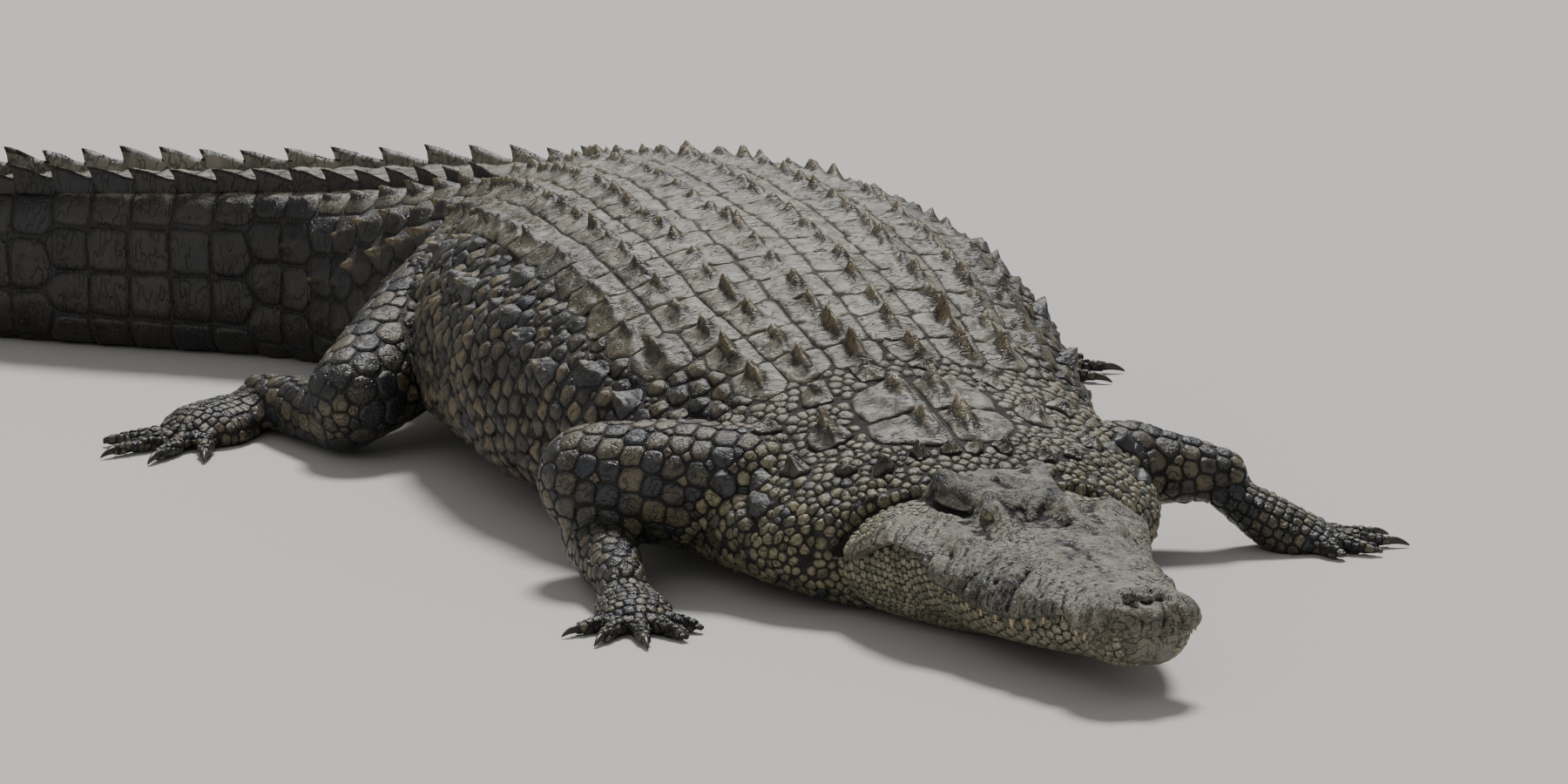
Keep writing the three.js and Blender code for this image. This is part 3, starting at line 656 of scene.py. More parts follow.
def hide_finish(name, dark, light, odd, odd_from, gloss=0.45, mud_share=1.0, drawn=PLAIN,
                bump=1.0):
    """Pigment that changes from scale to scale, with painted shade in the grooves and creases, horn on
    the keels partly painted as shade, and dried mud. A part of drawn that is under 1 draws the
    fibres out that way."""
    finish, tree, shader = new_finish(name)
    at = join(tree, "ShaderNodeTexCoord", 3)
    along = join(tree, "ShaderNodeVectorMath", 0, {"operation": "MULTIPLY"}, i0=at, i1=drawn)
    broad, mid = noise_at(tree, at, 9.0), noise_at(tree, along, 48.0, 5.0)
    fine = noise_at(tree, along, 280.0, 4.0, 0.65)
    folded = sum_up(tree, "SUBTRACT", noise_at(tree, along, 85.0, 1.0, 0.5), 0.5)
    wrinkle = step_up(tree, sum_up(tree, "ABSOLUTE", folded, 0.0), 0.0, 0.045)
    wrinkle = sum_up(tree, "MAXIMUM", wrinkle, step_up(tree, noise_at(tree, at, 24.0, 2.0), 0.46, 0.64))
    relief, tint, mud, wet = (kept(tree, word) for word in ("relief", "tint", "mud", "wet"))

    # Pigment: dark or light by patch and by scale, darker where the relief is low as painted shade,
    # the odd colour on some scales, dark pores, and horn on the keels with ochre on their tips.
    shade = times_plus(tree, mid, 1.5, times_plus(tree, tint, 0.8, -1.1))
    shade = times_plus(tree, relief, 1.0, shade)
    pigment = blend(tree, step_up(tree, shade, 0.1, 0.9), dark, light)
    chosen = times_plus(tree, broad, 0.5, tint)
    pigment = blend(tree, step_up(tree, chosen, odd_from + 0.2, odd_from + 0.3), pigment, odd)
    pores = step_up(tree, fine, 0.35, 0.7)
    pigment = blend(tree, pores, blend(tree, 0.45, pigment, GROOVE), pigment)
    # The keels: dark horn, partly their own colour and partly painted shade on their faces, with ochre
    # on their tips.
    tip = step_up(tree, relief, 0.57, 0.74)
    edge = times_plus(tree, mid, 0.35, relief)
    horn = blend(tree, step_up(tree, edge, 1.02, 1.24), HORN_AND_SHADE, OCHRE)
    pigment = blend(tree, sum_up(tree, "MULTIPLY", tip, 0.9), pigment, horn)

    # Mud: it breaks up in patches, and is kept thin where the relief is low and off the keels, so that
    # creases and the keels' faces show dark as painted shade.
    raised = step_up(tree, relief, 0.05, 0.45)
    coverage = times_plus(tree, mid, 1.0, times_plus(tree, mud, 1.5 * mud_share, -1.1))
    coverage = times_plus(tree, raised, 0.4, coverage)
    coverage = times_plus(tree, tip, -1.1, coverage)
    cover = sum_up(tree, "MULTIPLY", step_up(tree, coverage, 0.1, 0.8), 0.93)
    dust = step_up(tree, times_plus(tree, mid, 0.8, broad), 0.70, 1.05)
    dust = blend(tree, dust, MUD_DEEP, MUD_PALE)
    grit = step_up(tree, fine, 0.3, 0.75)
    dust = blend(tree, grit, blend(tree, 0.55, dust, MUD_DEEP), dust)
    colour = blend(tree, cover, pigment, dust)
    # Painted shade along the wrinkle lines.
    colour = blend(tree, wrinkle, blend(tree, 0.64, colour, GROOVE), colour)
    colour = blend(tree, kept(tree, "lid"), colour, LID)
    # Painted shade where the relief is low: in the grooves between scales and in creases.
    bed = step_up(tree, relief, 0.0, 0.32)
    tree.links.new(blend(tree, bed, GROOVE, colour), shader.inputs["Base Color"])

    # Gloss: duller under mud, glossier low down, dullest in the grooves.
    dull = step_up(tree, cover, 0.0, 1.0, gloss, 0.50)
    dull = times_plus(tree, wet, -0.08, dull)
    dull = times_plus(tree, fine, 0.36, sum_up(tree, "SUBTRACT", dull, 0.18))
    dull = sum_up(tree, "MAXIMUM", dull, step_up(tree, bed, 0.0, 1.0, 0.85, 0.0))
    tree.links.new(dull, shader.inputs["Roughness"])

    height = times_plus(tree, mid, 1.1, sum_up(tree, "MULTIPLY", wrinkle, 0.5))
    height = times_plus(tree, fine, 0.7, height)
    uneven = join(tree, "ShaderNodeBump", 0, Strength=1.0, Distance=0.0024 * bump, Height=height)
    tree.links.new(uneven, shader.inputs["Normal"])
    return finish


# Creases are painted darker than ridges, as painted shade: stand is how far each point lies out from
# its smoothed place.
co, normals = read(skin.data), read(skin.data, normals=True)
pairs = np.zeros(len(skin.data.edges) * 2, np.int32)
skin.data.edges.foreach_get("vertices", pairs)
pairs = pairs.reshape(-1, 2)
joins = np.bincount(pairs.ravel(), minlength=len(co))[:, None]
smoothed, stands = co.copy(), []
for step in range(14):
    total = [np.bincount(pairs[:, 0], smoothed[pairs[:, 1], k], len(co))
             + np.bincount(pairs[:, 1], smoothed[pairs[:, 0], k], len(co)) for k in range(3)]
    smoothed = 0.4 * smoothed + 0.6 * np.stack(total, 1) / joins
    if step in (3, 13):
        stands.append(np.sum((co - smoothed) * normals, 1))
stand = 0.52 + np.clip(stands[0] / 0.0016, -0.3, 0.3) + np.clip(stands[1] / 0.0034, -0.35, 0.3)
station, turn = read_value(skin.data, "station"), read_value(skin.data, "turn")
bare = (1 - ease(632, 641, station)) * (np.abs(co[:, 0]) < 0.24) * (co[:, 1] < -0.79)
bare *= (turn < 181) | (turn > 359) | (station < 60)
head_mud = bare * ease(0.0, 0.06, co[:, 2]) * (
    0.56 + 0.2 * normals[:, 2] + 0.33 * rough(co, 0.11, 5) + 0.45 * rough(co, 0.03, 6)
    + 0.7 * (1 - ease(30, 130, station)))
lid = sum(np.where((facing > 0) & (r < 24), 1 - ease(1.1, 1.75, open_at), 0)
          for open_at, facing, r in (opening(co, word) for word in eyes))
keep(skin.data,
     mud=np.maximum(mud_on(co, normals[:, 2]) * 0.2, head_mud),
     wet=wet_on(co),
     tint=0.5 + 0.5 * rough(co, 0.05, 2) + 0.25 * rough(co, 0.15, 3),
     lid=0.8 * lid,
     relief=np.clip(bare * (0.10 + 0.60 * stand) + (1 - bare) * (0.01 + 0.10 * stand), 0, 0.66))
skin.data.materials.clear()
skin.data.polygons.foreach_set("material_index", np.zeros(len(skin.data.polygons), np.int32))
skin.data.materials.append(hide_finish("hide", (0.050, 0.046, 0.037), (0.165, 0.142, 0.10),
                                      (0.085, 0.091, 0.10), odd_from=0.62, bump=1.9))
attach(skin, "root")
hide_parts(*[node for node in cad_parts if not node.startswith(("claw", "eye", "ear"))])


# ---- Where the scales sit ----
# Every scale grows from one root on the skin. Neighbours press on each other, so that each one's
# edge lies half way to the next, nearer to the smaller of the two: plates, cobbles and granules.
random = np.random.default_rng(7)
# Of each root: its kind, where it is, the way tailward, half its length and breadth, its place on
# the unwrapped hide, and its keel: the height and how far out the keel stands.
field = {word: [] for word in ("kind", "root", "along", "lu", "lv", "place", "keel")}
ROOM = 20000
taken = {"at": np.zeros((ROOM, 3)), "size": np.zeros(ROOM), "count": 0}


def sow(kind, roots, tailward, lu, lv, unwrap, clear, reach, keel=None, only=None):
    """Sets roots on the skin, leaving out those further from it than reach, those that only
    turns down, and those closer to an earlier root than clear allows, as a share of both sizes."""
    n = len(roots)
    lu, lv = np.broadcast_to(lu, n) * MM, np.broadcast_to(lv, n) * MM
    keel = np.zeros((n, 2)) if keel is None else keel
    index, found = [], []
    for k in range(n):
        at, _, _, distance = skin_tree.find_nearest(Vector(roots[k]))
        if distance > reach or (only is not None and not only(at)):
            continue
        own = math.sqrt(lu[k] * lv[k])
        m = taken["count"]
        gap = taken["at"][:m] - np.array(at)
        if clear and np.any(np.einsum("ij,ij->i", gap, gap) < (clear * (taken["size"][:m] + own)) ** 2):
            continue
        taken["at"][m], taken["size"][m], taken["count"] = at, own, m + 1
        index.append(k)
        found.append(at)
    if index:
        values = (np.array([kind] * len(index)), np.array(found), tailward[index], lu[index],
                  lv[index], unwrap[index], keel[index])
        for word, value in zip(field, values):
            field[word].append(value)


def unwrapped(s, q):
    """Where a place of the body lies on the unwrapped hide."""
    return 0.01 + 0.98 * s / LENGTH, 0.5 + q / 2400


def sow_body(kind, rows, clear=0.0, reach=0.012, only=None):
    """Roots from rows of station, distance round from the middle of the back, half length, half
    breadth, and for some the keel's height and how far out it stands."""
    rows = np.array(rows)
    s, q, lu, lv = rows.T[:4]
    keel = np.zeros((len(rows), 2))
    keel[:, :rows.shape[1] - 4] = rows[:, 4:]
    sow(kind, skin_at(s, q), skin_at(s + 3, q) - skin_at(s - 3, q), lu, lv,
        np.stack(unwrapped(s, q), 1), clear, reach, keel, only)


def about(value, by):
    """The value, or at random up to by more or less."""
    return value + random.uniform(-by, by)


def q_at(s, x):
    """Distance round the body of the place on the back at x from the spine."""
    row = int(np.clip(s / 10, 0, len(arcs) - 1))
    upper = sweep >= 0
    return math.copysign(np.interp(abs(x), ring_x[row][upper], arcs[row][upper]), x)


def shield(s, share=0.72):
    """Distance round to the given share of the way out over the back, at station s."""
    return q_at(s, share * min(half_width(s), 400))


def off_floor(at):
    """Whether a root is clear of what the body lies on."""
    return at.z > 0.004


# The shield of the back: eighteen cross rows of keeled plates, four to each side. KEEL_PLACES is
# how far out the four lie, KEEL_SHARES how tall they are beside the first.
DORSAL_FIRST, DORSAL_PITCH, DORSAL_ROWS = 985, 68, 18
KEEL_PLACES, KEEL_SHARES = (0.12, 0.35, 0.54, 0.72), (1, 1, 0.9, 0.6)
keel_height = curve([(0, 26), (2, 18), (9, 16), (17, 18)])
rows = []
for i in range(DORSAL_ROWS):
    s = DORSAL_FIRST + i * DORSAL_PITCH
    for k, share in enumerate(KEEL_PLACES):
        if i == 0 and k == 3:
            continue
        for way in (-1, 1):
            tall = float(keel_height(i)) * KEEL_SHARES[k] * random.uniform(0.75, 1.15)
            rows.append((about(s, 5) + k * 4, about(way * shield(s, share), 3), 44, 56, tall))
sow_body("back", rows)
# The nape: two pairs of great plates, one more at each side, and small spikes behind the head.
# Station, sideways place, half length, half breadth, keel, and how far out the keel stands.
NAPE = [(768, 52, 62, 62, 27, 0.42), (866, 54, 62, 62, 25, 0.42), (818, 156, 46, 44, 24, 0.15),
        (702, 62, 19, 19, 13, 0), (694, 118, 20, 18, 13, 0), (698, 20, 16, 17, 7, 0),
        (714, 166, 18, 18, 11, 0), (918, 132, 26, 28, 13, 0), (776, 220, 26, 24, 12, 0),
        (880, 222, 26, 26, 12, 0), (946, 46, 24, 32, 9, 0)]
rows = []
for s, x, lu, lv, tall, shift in NAPE:
    for way in (1, -1):
        rows.append((about(s, 4), way * q_at(s, x), lu, lv, tall * random.uniform(0.85, 1.15),
                     shift * way))
sow_body("nape", rows)
# Odd large keeled scutes scattered on the flanks, and three on each side of the neck.
rows = []
for s in np.arange(1040, 2160, 80):
    for way in (-1, 1):
        rows.append((about(s, 25), way * (shield(s) + random.uniform(60, 150)),
                     random.uniform(23, 31), random.uniform(20, 27), random.uniform(12, 19)))
for s, q in ((800, 275), (760, 305), (850, 318)):
    for way in (-1, 1):
        rows.append((about(s, 6), way * q, 22, 20, 7))
sow_body("scute", rows, clear=0.9)
# Flanks: slanting rows of ovals with a low keel.
FLANK_PITCH = 32
rows = []
for i, s in enumerate(np.arange(975, 2195, FLANK_PITCH)):
    edge = shield(s, 0.72 if s > 1075 else 0.5) + 52
    for way in (-1, 1):
        for q in np.arange(edge + (i % 2) * FLANK_PITCH / 2, girth(s, -52), FLANK_PITCH):
            size = random.uniform(0.88, 1.12)
            slant = 0.22 * (q - edge)
            rows.append((about(s + slant, 2), way * about(q, 3), 13.5 * size, 17.5 * size,
                         random.uniform(0, 4)))
sow_body("flank", rows, clear=0.6, reach=0.03, only=off_floor)
# Neck and shoulders: pebbles, larger to the shoulders, with the plates of the nape left free.
rows = []
s, i = 636.0, 0
while s < 985:
    pitch = np.interp(s, [640, 985], [12.5, 17])
    for way in (-1, 1):
        for q in np.arange((i % 2) * pitch / 2 + 3, girth(s) - 6, pitch * 1.06):
            size = random.uniform(0.7, 1.3)
            if math.hypot((s - 817) / 112, q / 118) < 1:
                continue
            rows.append((about(s, 2.5), way * about(q, 3), pitch * 0.60 * size, pitch * 0.72 * size,
                         random.uniform(0, 2.5)))
    s += pitch * 0.9
    i += 1
sow_body("neck", rows, clear=0.66)
# Belly: square tiles in cross rows.
rows = []
for s in np.arange(990, 2195, 35):
    for way in (-1, 1):
        for q in np.arange(16, girth(s) - girth(s, -50), 31):
            rows.append((s, way * (girth(s) - q), 18, 16.5))
sow_body("belly", rows, clear=0.7)
# Lower jaw: small many-sided scales at the cheek, squarer ones forward and below.
rows = []
s, i = 16.0, 0
while s < 640:
    pitch = np.interp(s, [16, 60, 360, 400, 560, 640], [11, 15, 16, 12, 12, 14])
    lip = girth(s, 0) + float(jaw_inset(s)) + 5
    for way in (-1, 1):
        for q in np.arange(lip + (i % 2) * pitch / 2, girth(s) - 4, pitch):
            rows.append((about(s, 1.5), way * about(q, 1.5), pitch * 0.62, pitch * 0.56))
    s += pitch * 0.92
    i += 1
sow_body("jaw", rows, clear=0.6, reach=0.014)
# Behind the cheek ridge, in front of the collar fold.
rows = []
for i, s in enumerate(np.arange(545, 628, 10)):
    for way in (-1, 1):
        for q in np.arange(128 + (i % 2) * 5.5, girth(s, 8) - 14, 11.5):
            rows.append((about(s, 1), way * about(q, 1), 6.6, 6.2))
sow_body("jaw", rows, clear=0.6)
# Tail: one ring of plates after another.
WHORL_FIRST, WHORLS, DOUBLE_WHORLS = 2200.0, 36, 20
WHORL_LONGEST, WHORL_SHORTEST = 69, 47
crest_out = curve([(2200, 100), (2475, 96), (2750, 78), (3100, 66), (3400, 34), (3560, 12)])
crest_tall = curve([
    (2200, 22), (2475, 28), (2750, 31), (3100, 38), (3500, 50), (3650, 66), (4000, 52), (4250, 20)])
whorls = []
start = WHORL_FIRST
for i in range(WHORLS):
    length = WHORL_LONGEST + (WHORL_SHORTEST - WHORL_LONGEST) * i / (WHORLS - 1)
    whorls.append((start + length / 2, length, i < DOUBLE_WHORLS))
    start += length
rows = []
for s, length, double in whorls:
    crest = q_at(s, float(crest_out(s))) if double else 0.0
    half = girth(s)
    tops = max(1, round(crest / 44)) if double else 0
    sides = max(2, round((half - crest) / np.interp(s, [2200, 2500, 2900, 4300], [54, 64, 76, 44])))
    for way in (-1, 1):
        for k in range(tops):
            rows.append((s, way * (k + 0.5) * crest / tops, length / 2, crest / tops * 0.62, 2))
        for k in range(sides):
            q = crest + (k + 0.5) * (half - crest) / sides
            tall = np.interp(s, [2200, 2850], [25, 0]) * (1.0 if k < 3 else 0.5)
            rows.append((s + (k % 2) * 3, way * q, length / 2, (half - crest) / sides * 0.62,
                         tall * random.uniform(0.5, 1.2)))
sow_body("tail", rows)


def limb_frame(a, b):
    """The start of a limb length, its own way, the way to its side and up from it, its length."""
    a, b = np.array(a, float), np.array(b, float)
    axis = unit(b - a)
    side = unit(np.cross([0, 0, 1.0], axis))
    return a, axis, side, np.cross(axis, side), np.linalg.norm(b - a)


def limb_unwrapped(t, phi, order, parts):
    """Where a place of a limb lies on its unwrap: along it, and round one of its lengths."""
    return (t + 120) / 700, (order + phi / (2 * math.pi)) / parts


def sow_limb(kind, a, b, ra, rb, flat, pitch, stretch, order, parts):
    """Rings of scales round one limb length, each ring a little further round than the last."""
    a, axis, side, up, length = limb_frame(a, b)
    out = []
    ring, t = 0, -ra * 0.7
    while t < length + rb * 0.95:
        share = np.clip(t / length, 0, 1)
        r = (ra + (rb - ra) * share) * (1 + 0.06 * math.sin(share * math.pi))
        over = max(0, -t / ra, (t - length) / rb)
        shrunk = r * math.sqrt(max(0.02, 1 - over * over))
        count = max(4, round(2 * math.pi * shrunk / (pitch * stretch)))
        for k in range(count):
            phi = 2 * math.pi * (k + ring * 0.22) / count
            at = a + axis * t + side * math.cos(phi) * shrunk + up * math.sin(phi) * shrunk * flat
            if at[2] >= 4:
                out.append((*at, *limb_unwrapped(t, phi, order, parts)))
        t += pitch * 0.94
        ring += 1
    out = np.array(out)
    roots = out[:, :3] * MM
    jitter = random.uniform(0.86, 1.14, len(out))
    roots = roots + random.uniform(-1, 1, roots.shape) * pitch * 0.07 * MM
    sow(kind, roots, np.repeat(axis[None], len(out), 0), pitch * 0.56 * jitter,
        pitch * 0.56 * stretch * jitter, out[:, 3:], clear=0.66, reach=0.016)


def limb_place(spots, lengths, parts):
    """Where points lie on an unwrap of the limb: along its nearest length, and round it."""
    best, found = np.full(len(spots), np.inf), np.zeros((len(spots), 2))
    for order, (a, b, r) in enumerate(lengths):
        a, axis, side, up, length = limb_frame(a, b)
        t = (spots - a) @ axis
        held = np.clip(t, 0, length)
        gap = np.linalg.norm(spots - a - held[:, None] * axis, axis=1) - r
        phi = np.arctan2((spots - a) @ up, (spots - a) @ side) % (2 * math.pi)
        here = np.stack(limb_unwrapped(t, phi, order, parts), 1)
        found = np.where((gap < best)[:, None], here, found)
        best = np.minimum(best, gap)
    return found


# Legs: the scales' pitch and breadth on the upper limb, the lower limb, the sole and the digits,
# then the two sizes of the small scales that fill the bends and the folds beside the trunk.
FORE_SCALES = ((34, 1.12), (24, 1.12), (16, 1.0), (11.5, 1.3)), (13, 8)
HIND_SCALES = ((40, 1.12), (28, 1.12), (16, 1.0), (11.5, 1.3)), (15, 9)
for name, (joints, radii, sole, digits) in LEGS.items():
    root, bend, low, cuff, pad = joints
    pitches, fillers = FORE_SCALES if name.startswith("arm") else HIND_SCALES
    lengths = limb_lengths(joints, radii, sole, digit_lines(joints, sole, digits))
    parts = len(lengths)
    for order, length in enumerate(lengths):
        sow_limb(name, *length, *pitches[min(order, 3)], order, parts)
    spots = read(leg_meshes[name])
    random.shuffle(spots)
    along = np.repeat(limb_frame(root, bend)[1][None], len(spots), 0)
    unwrap = limb_place(spots / MM, [(root, bend, radii[0]), (low, cuff, radii[2]),
                                     (cuff, pad, sole * 0.6)], parts)
    for size in fillers:
        sow(name, spots, along, size, size * 0.9, unwrap, clear=0.78, reach=0.002)
# Granules fill the hide between the larger scales of flanks, shoulders and thighs.
rows = []
for i, s in enumerate(np.arange(960, 2230, 10.5)):
    for way in (-1, 1):
        low = shield(s, 0.84) if 1010 < s < 2160 else 0
        for q in np.arange(low + (i % 2) * 6, girth(s, -45), 12):
            at = about(s, 2.5), way * about(q, 2.5)
            size = random.uniform(6, 10)
            rows.append((*at, size, size * 0.85))
sow_body("granule", rows, clear=0.84, reach=0.03, only=off_floor)
field = {word: np.concatenate(values) for word, values in field.items()}

# The frame of each root: n out of the skin, u tailward or down the limb, w across.
roots = field["root"]
count = len(roots)
n_axis = np.zeros((count, 3))
for k in range(count):
    total = Vector((0, 0, 0))
    span = float(field["lu"][k]) * 0.7 + 0.003
    for _, normal, _, _ in skin_tree.find_nearest_range(Vector(roots[k]), span):
        total += normal
    n_axis[k] = total.normalized()
u_axis = unit(field["along"] - n_axis * np.sum(field["along"] * n_axis, 1, keepdims=True))
w_axis = np.cross(n_axis, u_axis)
sizes = np.sqrt(field["lu"] * field["lv"])
tint = random.uniform(0, 1, count)
# How sharp the corners between neighbours are, how far past its own size a scale may spread, and
# how many neighbours may press on it.
PRESS, SPREAD, NEIGHBOURS = 14, 1.25, 40


def cell_edges(which, angles, groove, square):
    """How far each chosen scale reaches in each direction before it meets its neighbours."""
    reach = np.zeros((len(which), len(angles)))
    cos, sin = np.cos(angles), np.sin(angles)
    for row, i in enumerate(which):
        d = roots - roots[i]
        far = np.einsum("ij,ij->i", d, d)
        near = np.where(far < (3.2 * sizes[i] + 0.055) ** 2)[0]
        near = near[(near != i) & (n_axis[near] @ n_axis[i] > -0.1)]
        meets = np.sqrt(far[near]) * sizes[i] / (sizes[i] + sizes[near])
        near = near[np.argsort(meets)[:NEIGHBOURS]]
        du, dw = d[near] @ u_axis[i], d[near] @ w_axis[i]
        length = np.sqrt(far[near])
        flat = np.maximum(np.hypot(du, dw), 1e-9)
        du, dw = du / flat * length, dw / flat * length
        share = sizes[i] / (sizes[i] + sizes[near])
        toward = np.maximum(du[:, None] * cos + dw[:, None] * sin, length[:, None] * 0.08)
        meet = (length ** 2 * share)[:, None] / toward
        power = 4.0 if square else 2.0
        own = (np.abs(cos) / field["lu"][i]) ** power + (np.abs(sin) / field["lv"][i]) ** power
        own = own ** (-1 / power) * SPREAD
        press = PRESS * (4 if square else 1.5)
        total = np.sum(meet ** -press, 0) + own ** -press
        reach[row] = np.maximum(total ** (-1 / press) - groove, sizes[i] * 0.3)
    return reach


def disc(sides, rings):
    """A closed round tile: a profile from the middle of the top, over the rim and back beneath,
    spun about its middle. Returns each corner's radius, angle and whether it is beneath."""
    bm = bmesh.new()
    chain = [bm.verts.new((r, 0, z)) for r, z in [*((r, 1.0) for r in rings), (1.0, 0.0), (0.0, 0.0)]]
    edges = [bm.edges.new(pair) for pair in zip(chain, chain[1:])]
    bmesh.ops.spin(bm, geom=chain + edges, cent=(0, 0, 0), axis=(0, 0, 1), angle=2 * math.pi,
                   steps=sides, use_merge=True)
    bmesh.ops.remove_doubles(bm, verts=bm.verts, dist=1e-5)
    bmesh.ops.recalc_face_normals(bm, faces=bm.faces)
    bmesh.ops.triangulate(bm, faces=bm.faces)
    co = np.array([v.co for v in bm.verts])
    faces = np.array([[v.index for v in f.verts] for f in bm.faces])
    bm.free()
    return np.hypot(co[:, 0], co[:, 1]), np.arctan2(co[:, 1], co[:, 0]), co[:, 2] < 0.5, faces


def joined(name, co, faces, values, unwrap):
    """One piece from arrays, with the values of its points and its map of patches."""
    mesh = bpy.data.meshes.new(name)
    mesh.vertices.add(len(co))
    mesh.vertices.foreach_set("co", co.astype(np.float32).ravel())
    mesh.loops.add(faces.size)
    mesh.loops.foreach_set("vertex_index", faces.ravel().astype(np.int32))
    mesh.polygons.add(len(faces))
    mesh.polygons.foreach_set("loop_start", np.arange(0, faces.size, 3, dtype=np.int32))
    mesh.polygons.foreach_set("use_smooth", np.ones(len(faces), bool))
    mesh.update(calc_edges=True)
    keep(mesh, **values)
    layer = mesh.uv_layers.new(name="OFBake")
    layer.data.foreach_set("uv", unwrap[faces.ravel()].astype(np.float32).ravel())
    return show(name, mesh)


# The breadth of each scale's patch on the map, how deep its underside is sunk in the hide, and
# how far above the floor it stays.
PATCH, SUNK, OFF_FLOOR = 0.003, 0.0028, 0.0004


def grow(name, kind, sides, rings, groove, shape, finish, slot, square=False, rugged=0.0,
         drawn=PLAIN):
    """Makes one coat piece: every scale of the given kind, pressed to its cell and shaped."""
    which = np.where(field["kind"] == kind)[0]
    radius, angle, beneath, faces = disc(sides, rings)
    angles, spoke = np.unique(np.round(angle, 4), return_inverse=True)
    reach = cell_edges(which, angles, groove, square)[:, spoke]
    du = radius * np.cos(angle) * reach
    dw = radius * np.sin(angle) * reach
    height, lean, bloom = shape(radius[None], du, dw, field["lu"][which][:, None],
                                field["lv"][which][:, None], field["keel"][which])
    flat = (roots[which][:, None] + u_axis[which][:, None] * du[..., None]
            + w_axis[which][:, None] * dw[..., None]).reshape(-1, 3)
    if rugged:
        uneven = rough(flat, 0.02, 3) + 0.8 * rough(flat * np.array(drawn), 0.008, 6)
        uneven = uneven.reshape(height.shape)
        height = height * (1 + 0.35 * uneven) + rugged * uneven * (radius < 0.93)
        lean = lean * (1 + 0.6 * uneven) + 0.6 * rugged * uneven
    height = np.where(beneath, -SUNK, height)
    out = np.repeat(n_axis[which], len(radius), 0)
    landed, facing = np.empty_like(flat), np.empty_like(flat)
    for k, point in enumerate(flat):
        landed[k], facing[k] = skin_tree.find_nearest(Vector(point))[:2]
    agree = np.sum(facing * out, 1) > 0.3
    facing = unit(np.where(agree[:, None], facing * 0.5 + out * 0.5, out))
    co = landed + facing * height.reshape(-1, 1)
    co += (u_axis[which][:, None] * np.where(beneath, 0, lean)[..., None]).reshape(-1, 3)
    co[:, 2] = np.maximum(co[:, 2], OFF_FLOOR)
    each = len(radius)
    all_faces = (faces[None] + np.arange(len(which))[:, None, None] * each).reshape(-1, 3)
    patch = np.stack([radius * np.cos(angle), radius * np.sin(angle)], 1)
    patch = patch * np.where(beneath, 0.9, 1)[:, None]
    values = {
        "relief": np.where(beneath, 0, np.clip(bloom, 0, 1)).ravel(),
        "tint": np.repeat(tint[which], each),
        "mud": mud_on(landed, facing[:, 2]),
        "wet": wet_on(landed)}
    unwrap = field["place"][which][:, None] + PATCH / 2 * patch
    piece = joined(name, co, all_faces, values, unwrap.reshape(-1, 2))
    piece.data.materials.append(finish)
    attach(piece, "root")


def keeled(edge, dome, fin=1.0, width=0.006, tilt=0.0, peak=0.35, lean=0.35, tent=0.3, rim=0.12,
           seam=0.0022, pleats=0, pleat=0.0):
    """The rise of a scale: a rounded edge, a dome, and a keel. The keel is a tent that spreads
    over the scale with a ragged fin on it, tallest towards the tail and leaning that way, and
    pleats may run out from it over the plate. The shape gives each point's height, how far it
    leans, and its relief: low on the rim and in the pleats' furrows, where the finish paints
    shade, and full on the keel."""
    def shape(f, du, dw, lu, lv, keels):
        tall, shift = keels[:, :1], keels[:, 1:]
        x, aside = du / lu, dw - shift * lv
        rise = edge * np.minimum(1, (1.0 - f) / 0.08 + 0.1) + dome * (1 - f * f)
        rise = rise + tilt * x * (1 - f ** 6)
        up = (0.25 + 0.75 * ease(-0.7, peak, x)) * ease(-1.0, -0.75, x)
        up = up * (1 - ease(peak + 0.06, peak + 0.30, x))
        spread = ease(-1, 0.25, x) * (1 - ease(0.35, 0.95, x))
        spread = spread * np.exp(-np.abs(aside) / (0.38 * lv)) * (1 - f ** 4)
        slim = width * (1.3 - 0.55 * np.clip(up, 0, 1))
        keel = (1 - tent) * up * np.exp(-(aside / slim) ** 2) + tent * spread
        keel = tall * MM * fin * keel
        inward = np.where(f < 0.05, 1, (1 - f) * np.hypot(du, dw) / np.maximum(f, 0.05))
        # Low relief on the rim, which the finish paints as shade between the scales.
        bloom = rim + (0.55 - rim) * np.minimum(1, inward / seam)
        bloom = bloom + 0.5 * np.clip((keel - 0.003) / 0.009, 0, 1)
        if pleats:
            around = np.arctan2(aside, du)
            ply = np.sin(pleats * around + 1.7 * np.sin(3 * around) + 300 * tall)
            ply *= ease(0.15, 0.45, f) * (1 - ease(0.9, 1.0, f))
            # Pleats raise the relief on their ridges and lower it in their furrows, which the finish
            # paints as shade.
            rise = rise + pleat * ply
            bloom = bloom + 0.10 * ply
        return rise + keel, keel * lean, bloom
    return shape


# ---- Plates of the back and the nape ----
# Bony plates under dull horn, set edge to edge on the back and in a group on the nape. Each one
# carries a ragged keel that leans tailward, with pleats that run out from it.
BIG_RINGS = (0, 0.1, 0.2, 0.31, 0.42, 0.54, 0.67, 0.8, 0.91, 0.97)
back_horn = hide_finish("back_horn", (0.05, 0.045, 0.034), (0.16, 0.133, 0.082), SLATE,
                        odd_from=1.3, drawn=CROSSWISE)
back_shape = keeled(0.0018, 0.0014, 1.1, 0.0095, lean=0.55, tent=0.36, rim=0.22, pleats=9,
                    pleat=0.0008)
nape_shape = keeled(0.0026, 0.002, 0.95, 0.012, lean=0.5, tent=0.45, rim=0.0, seam=0.004,
                    pleats=13, pleat=0.0011)
grow("back_plates", "back", 34, BIG_RINGS, 0.0004, back_shape, back_horn, "trunk_skin",
     square=True, rugged=0.0028, drawn=CROSSWISE)
grow("nape_plates", "nape", 52, BIG_RINGS, 0.0022, nape_shape, back_horn, "trunk_skin",
     square=True, rugged=0.0022, drawn=CROSSWISE)


